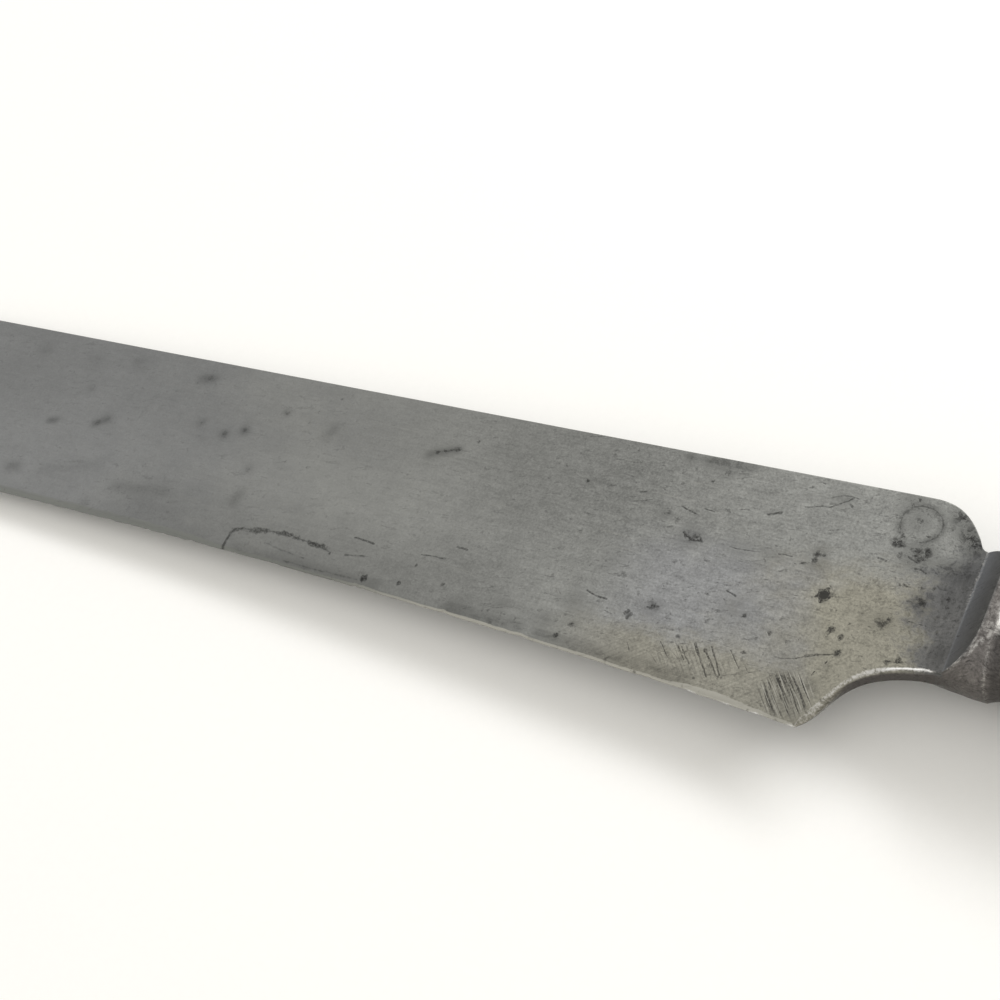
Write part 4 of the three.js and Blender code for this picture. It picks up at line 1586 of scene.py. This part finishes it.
    @staticmethod
    def pits(u: np.ndarray, v: np.ndarray, side: Side) -> np.ndarray:
        """Strength of the pits: a cone over each mark, the strongest at each place."""
        return np.max([m.depth * np.maximum(1.0 - 0.5 * m.away(u, v), 0.0) for m in PITS[side]], axis=0)

    @staticmethod
    def stains(u: np.ndarray, v: np.ndarray, side: Side) -> np.ndarray:
        """Strength of the stains: a bell over each mark, the strongest at each place."""
        return np.max([m.depth * bell(m.away(u, v), 1.0) for m in STAINS[side]], axis=0)

    def developed(self, v: np.ndarray, w: np.ndarray) -> np.ndarray:
        """Heights that go on along the surface past the face, so that nothing is smeared on the walls.

        Args:
            v: Heights of one side, (rows, points).
            w: Half thicknesses, (rows, points).

        Returns:
            Heights (rows, points).
        """
        runs = np.hypot(np.diff(v, axis=1), np.diff(w, axis=1))
        turn = self.corner_steps
        low = v[:, turn : turn + 1] - np.cumsum(runs[:, turn - 1 :: -1], axis=1)[:, ::-1]
        high = v[:, -turn - 1 : -turn] + np.cumsum(runs[:, -turn:], axis=1)
        return np.concatenate([low, v[:, turn:-turn], high], axis=1)

    def turns(self, steps: int) -> np.ndarray:
        """How far each point of a side has turned round its lower corner, from 0 to 1, and 2 past it."""
        rest = np.full(steps + self.corner_steps, 2.0)
        return np.concatenate([np.linspace(0.0, 1.0, self.corner_steps + 1), rest])

    def honing(self, u: np.ndarray, v: np.ndarray) -> np.ndarray:
        """Where the edge was honed: 1 on the bevel, with a soft upper border."""
        share = (v - v[:, :1]) / self.bevel_width(u)
        return smoothstep(1.35, 0.65, share) * smoothstep(0.2, -0.6, u)

    def wear(self, u: np.ndarray, v: np.ndarray, turn: np.ndarray) -> np.ndarray:
        """Bare metal and painted highlights: the strongest of the worn and highlit places on the blade and
        the bolster.

        Args:
            u: Stations, (rows, 1).
            v: Heights, (rows, points).
            turn: Turn round the lower corner, (points,).

        Returns:
            Values from 0 to 1, (rows, points).
        """
        return np.maximum.reduce([*self.blade_wear_and_glints(u, v, turn), *self.bolster_wear_and_highlights(u, v, turn)])

    def blade_wear_and_glints(self, u: np.ndarray, v: np.ndarray, turn: np.ndarray) -> list[np.ndarray]:
        """Worn places of the blade and painted glints on its edge: bells over the distance from its corners
        and its edge.

        Args:
            u: Stations, (rows, 1).
            v: Heights, (rows, points).
            turn: Turn round the lower corner, (points,).

        Returns:
            The choil's corner, the heel, the shoulder's corner and the painted glints on the bevel.
        """
        corner = v[:, self.corner_steps : self.corner_steps + 1]
        narrow = smoothstep(6.5, 9.5, u)
        past = bell(np.maximum(v - corner, 0.0), 0.3 - 0.17 * narrow)
        strength = 0.48 * smoothstep(0.2, 1.5, u) + 0.22 * smoothstep(3.5, 6.0, u) + 0.22 * narrow
        rolled = smoothstep(0.2 + 0.3 * narrow, 0.8 + 0.15 * narrow, turn)
        choil = past * rolled * strength * smoothstep(14.6, 13.0, u)
        heel = smoothstep(5.0, 2.5, u) * (u > 0.0) * (turn < 1.01) * 0.32
        shoulder = bell(v[:, -1:] - v, 0.3) * smoothstep(7.5, 9.0, u) * smoothstep(14.5, 13.0, u) * 0.26
        # Painted glints: bright specks of highlight at given places along the very edge.
        bright = np.maximum.reduce([bell(u - at, wide) for at, wide in self.edge_glints])
        honed = bell(v - v[:, :1], 0.1) * bright * (u < 0.3) * 0.9
        return [choil, heel, shoulder, honed]

    def bolster_wear_and_highlights(self, u: np.ndarray, v: np.ndarray, turn: np.ndarray) -> list[np.ndarray]:
        """Worn places and painted highlights of the bolster: bells over the distance from its raised lines.

        Args:
            u: Stations, (rows, 1).
            v: Heights, (rows, points).
            turn: Turn round the lower corner, (points,).

        Returns:
            The ridge and the crest, worn and with painted highlights, the painted highlight along the knuckle
            line, painted light on the land, a painted highlight behind the rim, and the rim, worn and
            highlit.
        """
        axis, rim, flute_end = self.handle.axis, self.rim, self.flute_end
        outer = turn > 0.2
        # The ridge and the crest: worn lines, each with a painted highlight along it.
        ridge = bell(u - self.ridge, 0.42) * (0.1 + 0.24 * smoothstep(15.0, 21.0, v))
        flare = smoothstep(self.ridge, self.ridge + 0.6, u) * smoothstep(rim + 0.3, rim - 0.1, u)
        crest = bell(turn - 0.95, 0.2) * (v < axis) * flare * 0.38
        # Painted highlight along the knuckle line, where the bolster's side turns towards the light.
        above = v - self.knuckle[1] - self.knuckle_rise * (u - self.knuckle[0])
        reach = smoothstep(16.8, 17.6, u) * smoothstep(rim + 0.6, rim, u)
        knuckle = bell(above, 0.35) * reach * outer * 0.62
        # Painted light on the land between the flute's end and the rim.
        front = smoothstep(flute_end - 0.1, flute_end + 0.2, u) * smoothstep(rim + 1.2, rim + 0.5, u)
        lit_land = front * smoothstep(-0.4, 0.4, above) * (v < axis + 5.0) * 0.26
        # Painted highlight on the rim's front, just behind it.
        rim_highlight = bell(u - rim - 0.5, 0.5) * bell(v - axis + 2.2, 2.0) * outer * 0.95
        # The rim: worn, with a painted highlight along it.
        edge = bell(u - rim, 0.34) * np.where(above < 0.0, 0.34, 0.26)
        return [ridge, crest, knuckle, lit_land, rim_highlight, edge]

    def flute_sheen(self, u: np.ndarray, v: np.ndarray, turn: np.ndarray) -> np.ndarray:
        """A painted sheen in the flute between ridge and crest, strongest beside the ridge and near the
        spine.

        Args:
            u: Stations, (rows, 1).
            v: Heights, (rows, points).
            turn: Turn round the lower corner, (points,).

        Returns:
            Values from 0 to 1, (rows, points).
        """
        share = (u - self.ridge) / (self.flute_end - self.ridge)
        inside = smoothstep(-0.05, 0.0, share) * smoothstep(1.05, 0.97, share) * (turn > 0.99)
        return inside * np.clip(1.0 - share, 0.0, 1.0) ** 1.4 * (0.45 + 0.55 * smoothstep(13.0, 24.0, v))

    def brown(self, u: np.ndarray, v: np.ndarray, turn: np.ndarray) -> np.ndarray:
        """Browned metal: the choil's wall, the flare's and the collar's sides.

        Args:
            u: Stations, (rows, 1).
            v: Heights, (rows, points).
            turn: Turn round the lower corner, (points,).

        Returns:
            Values from 0 to 1, (rows, points).
        """
        wall = smoothstep(0.55, 0.2, turn) * smoothstep(2.0, 5.0, u) * (u < self.ridge)
        flare = (u >= self.ridge) * smoothstep(1.0, 0.85, turn) * (v < self.handle.axis)
        behind = smoothstep(self.flute_end - 0.1, self.flute_end + 0.3, u)
        return np.maximum.reduce([wall, flare, behind * np.ones_like(v)])

    def painted_shade_field(self, u: np.ndarray, turn: np.ndarray) -> np.ndarray:
        """Painted shade: darker on the choil's wall, in the flute towards its crest and in the collar's
        waist.

        Args:
            u: Stations, (rows, 1).
            turn: Turn round the lower corner, (points,).

        Returns:
            Values from 0 to 1, (rows, points).
        """
        ridge, rim, rear = self.ridge, self.rim, self.rear
        wall = smoothstep(0.55, 0.2, turn) * smoothstep(2.0, 5.0, u) * smoothstep(ridge + 1.5, ridge - 2.0, u)
        collar = smoothstep(rim + 0.1, rim + 0.7, u) * smoothstep(rear + 0.5, rear - 2.0, u)
        share = (u - ridge) / (self.flute_end - ridge)
        flute = smoothstep(0.2, 0.7, share) * (share < 0.97) * (turn > 0.99)
        return np.maximum(np.maximum(0.28 * wall, 0.42 * collar), 0.12 * flute)

    def build(self, knife: KnifeFrame) -> bpy.types.Object:
        """Makes the mesh: a grid of sections, the tang behind it and flat faces between them.

        Args:
            knife: The knife's frame.

        Returns:
            The forging, with its places and fields stored on it.
        """
        sides = {Side.FRONT: self.side_rows(self.front_steps), Side.BACK: self.side_rows(self.back_steps)}
        steps = {Side.FRONT: self.front_steps, Side.BACK: self.back_steps}
        fields: dict[str, list[np.ndarray]] = {}
        for side, (stations, v, _) in sides.items():
            u = np.broadcast_to(stations[:, None], v.shape)
            turn = self.turns(steps[side])
            found = {
                "pits": self.pits(u, v, side),
                "stains": self.stains(u, v, side),
                "honing": self.honing(stations[:, None], v),
                "wear": self.wear(stations[:, None], v, turn),
                "flute": self.flute_sheen(stations[:, None], v, turn),
                "brown": self.brown(stations[:, None], v, turn),
                "dim": self.painted_shade_field(stations[:, None], turn),
            }
            for name, values in found.items():
                fields.setdefault(name, []).append(values)
        u, front_v, front_w = sides[Side.FRONT]
        _, back_v, back_w = sides[Side.BACK]
        none = np.zeros((len(u), 1))
        v = np.concatenate([front_v[:, :1], front_v, front_v[:, -1:], back_v[:, ::-1]], axis=1)
        w = np.concatenate([none, front_w, none, -back_w[:, ::-1]], axis=1)
        along = u[:, None] + self.lean(u[:, None], v)
        work = Patchwork(knife)
        rings = work.grid(np.stack([along, v, w], axis=-1))
        work.close(rings[0])
        self.add_tang(work, rings[-1])
        piece = work.piece("forged_blade", self.crease)
        front, back = self.developed(front_v, front_w), self.developed(back_v, back_w)
        ends = front[:, :1] - front_w[:, :1], front[:, -1:] + front_w[:, -1:]
        put_places(piece, knife, np.concatenate([ends[0], front, ends[1], back[:, ::-1]], axis=1))
        for name, (front, back) in fields.items():
            ring = [front[:, :1], front, front[:, -1:], back[:, ::-1]]
            put_field(piece, name, np.concatenate(ring, axis=1))
        return piece

    def add_tang(self, work: Patchwork, rear_rim: np.ndarray) -> None:
        """Adds the tang: the handle's outline at four levels, bored for the pins.

        Args:
            work: The mesh so far.
            rear_rim: The bolster's last section.
        """
        run = self.handle.run(self.rear, self.tang_steps)
        half, soft = self.tang_half, self.tang_round
        levels = ((-half, soft), (soft - half, 0.0), (half - soft, 0.0), (half, soft))
        rows = np.stack([np.column_stack([drawn_in(run, m), np.full(len(run), w)]) for w, m in levels])
        edge = work.grid(rows, is_closed=False)
        holes = [
            work.grid(tube(place, ((self.pin_hole, -half), (self.pin_hole, half)), self.hole_sides))
            for place in self.handle.rivets
        ]
        work.close(edge[0], *(hole[0] for hole in holes))
        work.close(edge[-1], *(hole[-1] for hole in holes))
        work.close(rear_rim, np.concatenate([edge[:, 0], edge[::-1, -1]]))


# Scales and rivets


@dataclass(frozen=True)
class Scale:
    """A wooden scale: flat inside and out, its outer edges rounded, with three counterbores."""

    handle: Handle
    side: Side
    front: float = 27.3
    inner: float = 1.65
    round_height: float = 4.2
    round_thick: float = 4.5
    pocket_radius: float = 3.65
    bore_radius: float = 1.75
    pocket_floor: float = 5.85
    mouth_wider: float = 0.08
    mouth_depth: float = 0.1
    steps: int = 70
    round_steps: int = 12
    pocket_sides: int = 48
    crease: float = 35.0

    def build(self, knife: KnifeFrame) -> bpy.types.Object:
        """Makes the mesh: rings of the outline from the inner to the outer face, and stepped bores.

        The rounding follows a quarter ellipse: the margin is its height times one minus the
        cosine, and the level its thickness times the sine.

        Args:
            knife: The knife's frame.

        Returns:
            The scale, with its rubbed and grimy places stored on it.
        """
        run = self.handle.run(self.front, self.steps)
        turn = np.linspace(0.0, math.pi / 2, self.round_steps + 1)
        top = self.handle.half_thick
        sign = self.side.value
        levels = np.concatenate([[self.inner], top - self.round_thick * (1.0 - np.sin(turn))])
        margins = np.concatenate([[0.0], self.round_height * (1.0 - np.cos(turn))])
        rows = np.stack([
            np.column_stack([drawn_in(run, margin), np.full(len(run), level * sign)])
            for level, margin in zip(levels, margins)
        ])
        work = Patchwork(knife)
        rings = work.grid(rows)
        wide, narrow = self.pocket_radius, self.bore_radius
        floor = self.pocket_floor
        mouth = ((wide, top - self.mouth_depth), (wide + self.mouth_wider, top))
        steps = ((narrow, self.inner), (narrow, floor), (wide, floor), *mouth)
        profile = [(radius, level * sign) for radius, level in steps]
        bores = [work.grid(tube(place, profile, self.pocket_sides)) for place in self.handle.rivets]
        work.close(rings[0], *(bore[0] for bore in bores))
        work.close(rings[-1], *(bore[-1] for bore in bores))
        piece = work.piece(f"wood_scale_{self.side.name.lower()}", self.crease)
        self.dress_fields(piece, knife)
        return piece

    def dress_fields(self, piece: bpy.types.Object, knife: KnifeFrame) -> None:
        """Stores how rubbed and how grimy each vertex is.

        Args:
            piece: The scale.
            knife: The knife's frame.
        """
        places = knife_places(piece, knife)
        level = np.abs(places[:, 2])
        rubbed = smoothstep(2.5, 6.4, level) * smoothstep(7.05, 6.2, level)
        gaps = [np.hypot(places[:, 0] - u, places[:, 1] - v) for u, v in self.handle.rivets]
        pockets = smoothstep(self.pocket_radius + 0.2, self.pocket_radius, np.min(gaps, axis=0))
        seam = smoothstep(self.inner + 0.5, self.inner, level)
        put_field(piece, "rubbed", rubbed)
        put_field(piece, "grime", np.maximum(pockets, seam))


@dataclass(frozen=True)
class Rivet:
    """A brass pin with peened ends and a burr under each.

    The bore of a burr opens out by bore_wider over bore_depth. A dome starts at a small angle, which
    leaves a flat in its middle.
    """

    handle: Handle
    number: int
    pin_radius: float = 1.6
    burr_radius: float = 3.5
    burr_bore: float = 1.7
    burr_thick: float = 1.0
    dome: float = 0.35
    rim_round: float = 0.2
    recess: float = 0.1
    bore_wider: float = 0.12
    bore_depth: float = 0.06
    dome_start: float = 0.06
    dome_steps: int = 8
    rim_steps: int = 6
    sides: int = 64
    crease: float = 40.0

    def pin(self, knife: KnifeFrame) -> bpy.types.Object:
        """Makes the pin: a bar whose ends are peened into low domes, a quarter ellipse in section.

        Args:
            knife: The knife's frame.

        Returns:
            The pin.
        """
        top = self.handle.half_thick - self.recess
        turn = np.linspace(self.dome_start, math.pi / 2, self.dome_steps)
        end = np.stack([self.pin_radius * np.sin(turn), top - self.dome * (1.0 - np.cos(turn))], axis=1)
        profile = np.concatenate([end, end[::-1] * (1.0, -1.0)])
        work = Patchwork(knife)
        rings = work.grid(tube(self.handle.rivets[self.number - 1], profile, self.sides))
        work.close(rings[0])
        work.close(rings[-1])
        return work.piece(f"brass_pin_{self.number}", self.crease)

    def burr(self, knife: KnifeFrame, side: Side) -> bpy.types.Object:
        """Makes a burr: a washer with a rounded rim, its section turned about the pin.

        Args:
            knife: The knife's frame.
            side: The face that it lies in.

        Returns:
            The burr.
        """
        top = self.handle.half_thick - self.recess
        bottom = top - self.burr_thick
        turn = np.linspace(0.0, math.pi / 2, self.rim_steps)
        middle = np.array((self.burr_radius, top)) - self.rim_round
        rim = middle + self.rim_round * np.stack([np.sin(turn), np.cos(turn)], axis=1)
        bore = self.burr_bore
        inside = [(bore, bottom), (bore, top - self.bore_depth), (bore + self.bore_wider, top)]
        profile = np.concatenate([inside, rim, [(self.burr_radius, bottom)]]) * (1.0, side.value)
        work = Patchwork(knife)
        work.grid(tube(self.handle.rivets[self.number - 1], profile, self.sides), is_wrapped=True)
        return work.piece(f"brass_burr_{side.name.lower()}_{self.number}", self.crease)


# Studio


@dataclass(frozen=True)
class Studio:
    """Pale table, soft light from behind and a camera at the photograph's place.

    Camera places are knife places in millimetres.
    """

    camera: Triple = (49.80, -71.65, 176.03)
    target: Triple = (-46.70, 20.23, 0.0)
    roll: float = 27.59
    lens: float = 61.2
    sensor: float = 36.0
    nearest: float = 0.005
    floor_half: float = 3.0
    floor_tone: Colour = (0.955, 0.955, 0.945)
    ambient: float = 0.75
    ambient_tone: Colour = (1.0, 0.975, 0.92)
    window_place: Triple = (0.615, 1.065, 0.77)
    window_size: Place = (1.7, 0.27)
    window_power: float = 17.0

    def add_camera(self, knife: KnifeFrame) -> None:
        """Places the camera: it looks at the target, and its up turns towards its right by the roll.

        Args:
            knife: The knife's frame.
        """
        ahead = np.array(self.target) - np.array(self.camera)
        ahead /= np.linalg.norm(ahead)
        level = np.cross(ahead, (0.0, 0.0, 1.0))
        level /= np.linalg.norm(level)
        up = np.cross(level, ahead)
        roll = math.radians(self.roll)
        right = level * math.cos(roll) - up * math.sin(roll)
        up = up * math.cos(roll) + level * math.sin(roll)
        data = bpy.data.cameras.new("photo_camera")
        data.lens = self.lens
        data.sensor_width = self.sensor
        data.clip_start = self.nearest
        camera = bpy.data.objects.new("photo_camera", data)
        turned = Matrix([knife.direction(axis) for axis in (right, up, -ahead)]).transposed()
        camera.matrix_world = Matrix.Translation(knife.points(np.array(self.camera))) @ turned.to_4x4()
        bpy.context.scene.collection.objects.link(camera)
        bpy.context.scene.camera = camera

    def add_floor(self) -> None:
        """Lays the table, a square on the plane z = 0."""
        reach = self.floor_half
        corners = [(-reach, -reach, 0.0), (reach, -reach, 0.0), (reach, reach, 0.0), (-reach, reach, 0.0)]
        mesh = bpy.data.meshes.new("table")
        mesh.from_pydata(corners, [], [(0, 1, 2, 3)])
        floor = bpy.data.objects.new("table", mesh)
        bpy.context.scene.collection.objects.link(floor)
        s = Shader("table_paper")
        fleck = s.noise(s.object_places(), 900.0, 3.0, 0.6)
        colour = s.scaled(self.floor_tone, 0.985 + 0.03 * fleck)
        mesh.materials.append(s.finish(Base_Color=colour, Roughness=0.9, Specular_IOR_Level=0.1))

    def add_world(self) -> None:
        """White where the camera and reflections see it, and a plain level for the light."""
        world = bpy.data.worlds.new("studio")
        bpy.context.scene.world = world
        world.use_nodes = True
        tree = world.node_tree
        sky = tree.nodes["Background"]
        path = tree.nodes.new("ShaderNodeLightPath")
        seen = tree.nodes.new("ShaderNodeMath")
        seen.operation = "MAXIMUM"
        tree.links.new(path.outputs["Is Camera Ray"], seen.inputs[0])
        tree.links.new(path.outputs["Is Glossy Ray"], seen.inputs[1])
        tone = tree.nodes.new("ShaderNodeMix")
        tone.data_type = "RGBA"
        tone.inputs[6].default_value = (*(self.ambient * c for c in self.ambient_tone), 1.0)
        tone.inputs[7].default_value = (1.0, 1.0, 1.0, 1.0)
        tree.links.new(seen.outputs[0], tone.inputs[0])
        tree.links.new(tone.outputs[2], sky.inputs["Color"])

    def add_window(self) -> None:
        """Hangs a wide soft light, turned towards the origin."""
        data = bpy.data.lights.new("window", "AREA")
        data.shape = "RECTANGLE"
        data.size, data.size_y = self.window_size
        data.energy = self.window_power
        light = bpy.data.objects.new("window", data)
        spot = Vector(self.window_place)
        light.matrix_world = Matrix.Translation(spot) @ spot.to_track_quat("Z", "Y").to_matrix().to_4x4()
        bpy.context.scene.collection.objects.link(light)

    def build(self, knife: KnifeFrame) -> None:
        """Sets the whole stage.

        Args:
            knife: The knife's frame.
        """
        bpy.context.scene.view_settings.view_transform = "Standard"
        self.add_camera(knife)
        self.add_floor()
        self.add_world()
        self.add_window()


def main() -> None:
    """Builds and dresses every piece, then sets the stage."""
    logging.basicConfig(level=logging.INFO, format="%(name)s: %(message)s")
    handle = Handle()
    knife = KnifeFrame.from_record(frame["record"], handle.rest_place)
    steel, wood, brass = SteelFinish().make(), WoodFinish().make(), BrassFinish().make()
    finish_piece(Forging(handle).build(knife), steel, Slot.STEEL, "blade")
    for side in Side:
        node = f"scale_{side.name.lower()}"
        finish_piece(Scale(handle, side).build(knife), wood, Slot.WOOD, node)
    for number in range(1, len(handle.rivets) + 1):
        rivet = Rivet(handle, number)
        finish_piece(rivet.pin(knife), brass, Slot.BRASS, f"rivet_pin_{number}")
        for side in Side:
            node = f"burr_{side.name.lower()}_{number}"
            finish_piece(rivet.burr(knife, side), brass, Slot.BRASS, node)
    Studio().build(knife)


if __name__ == "__main__":
    main()
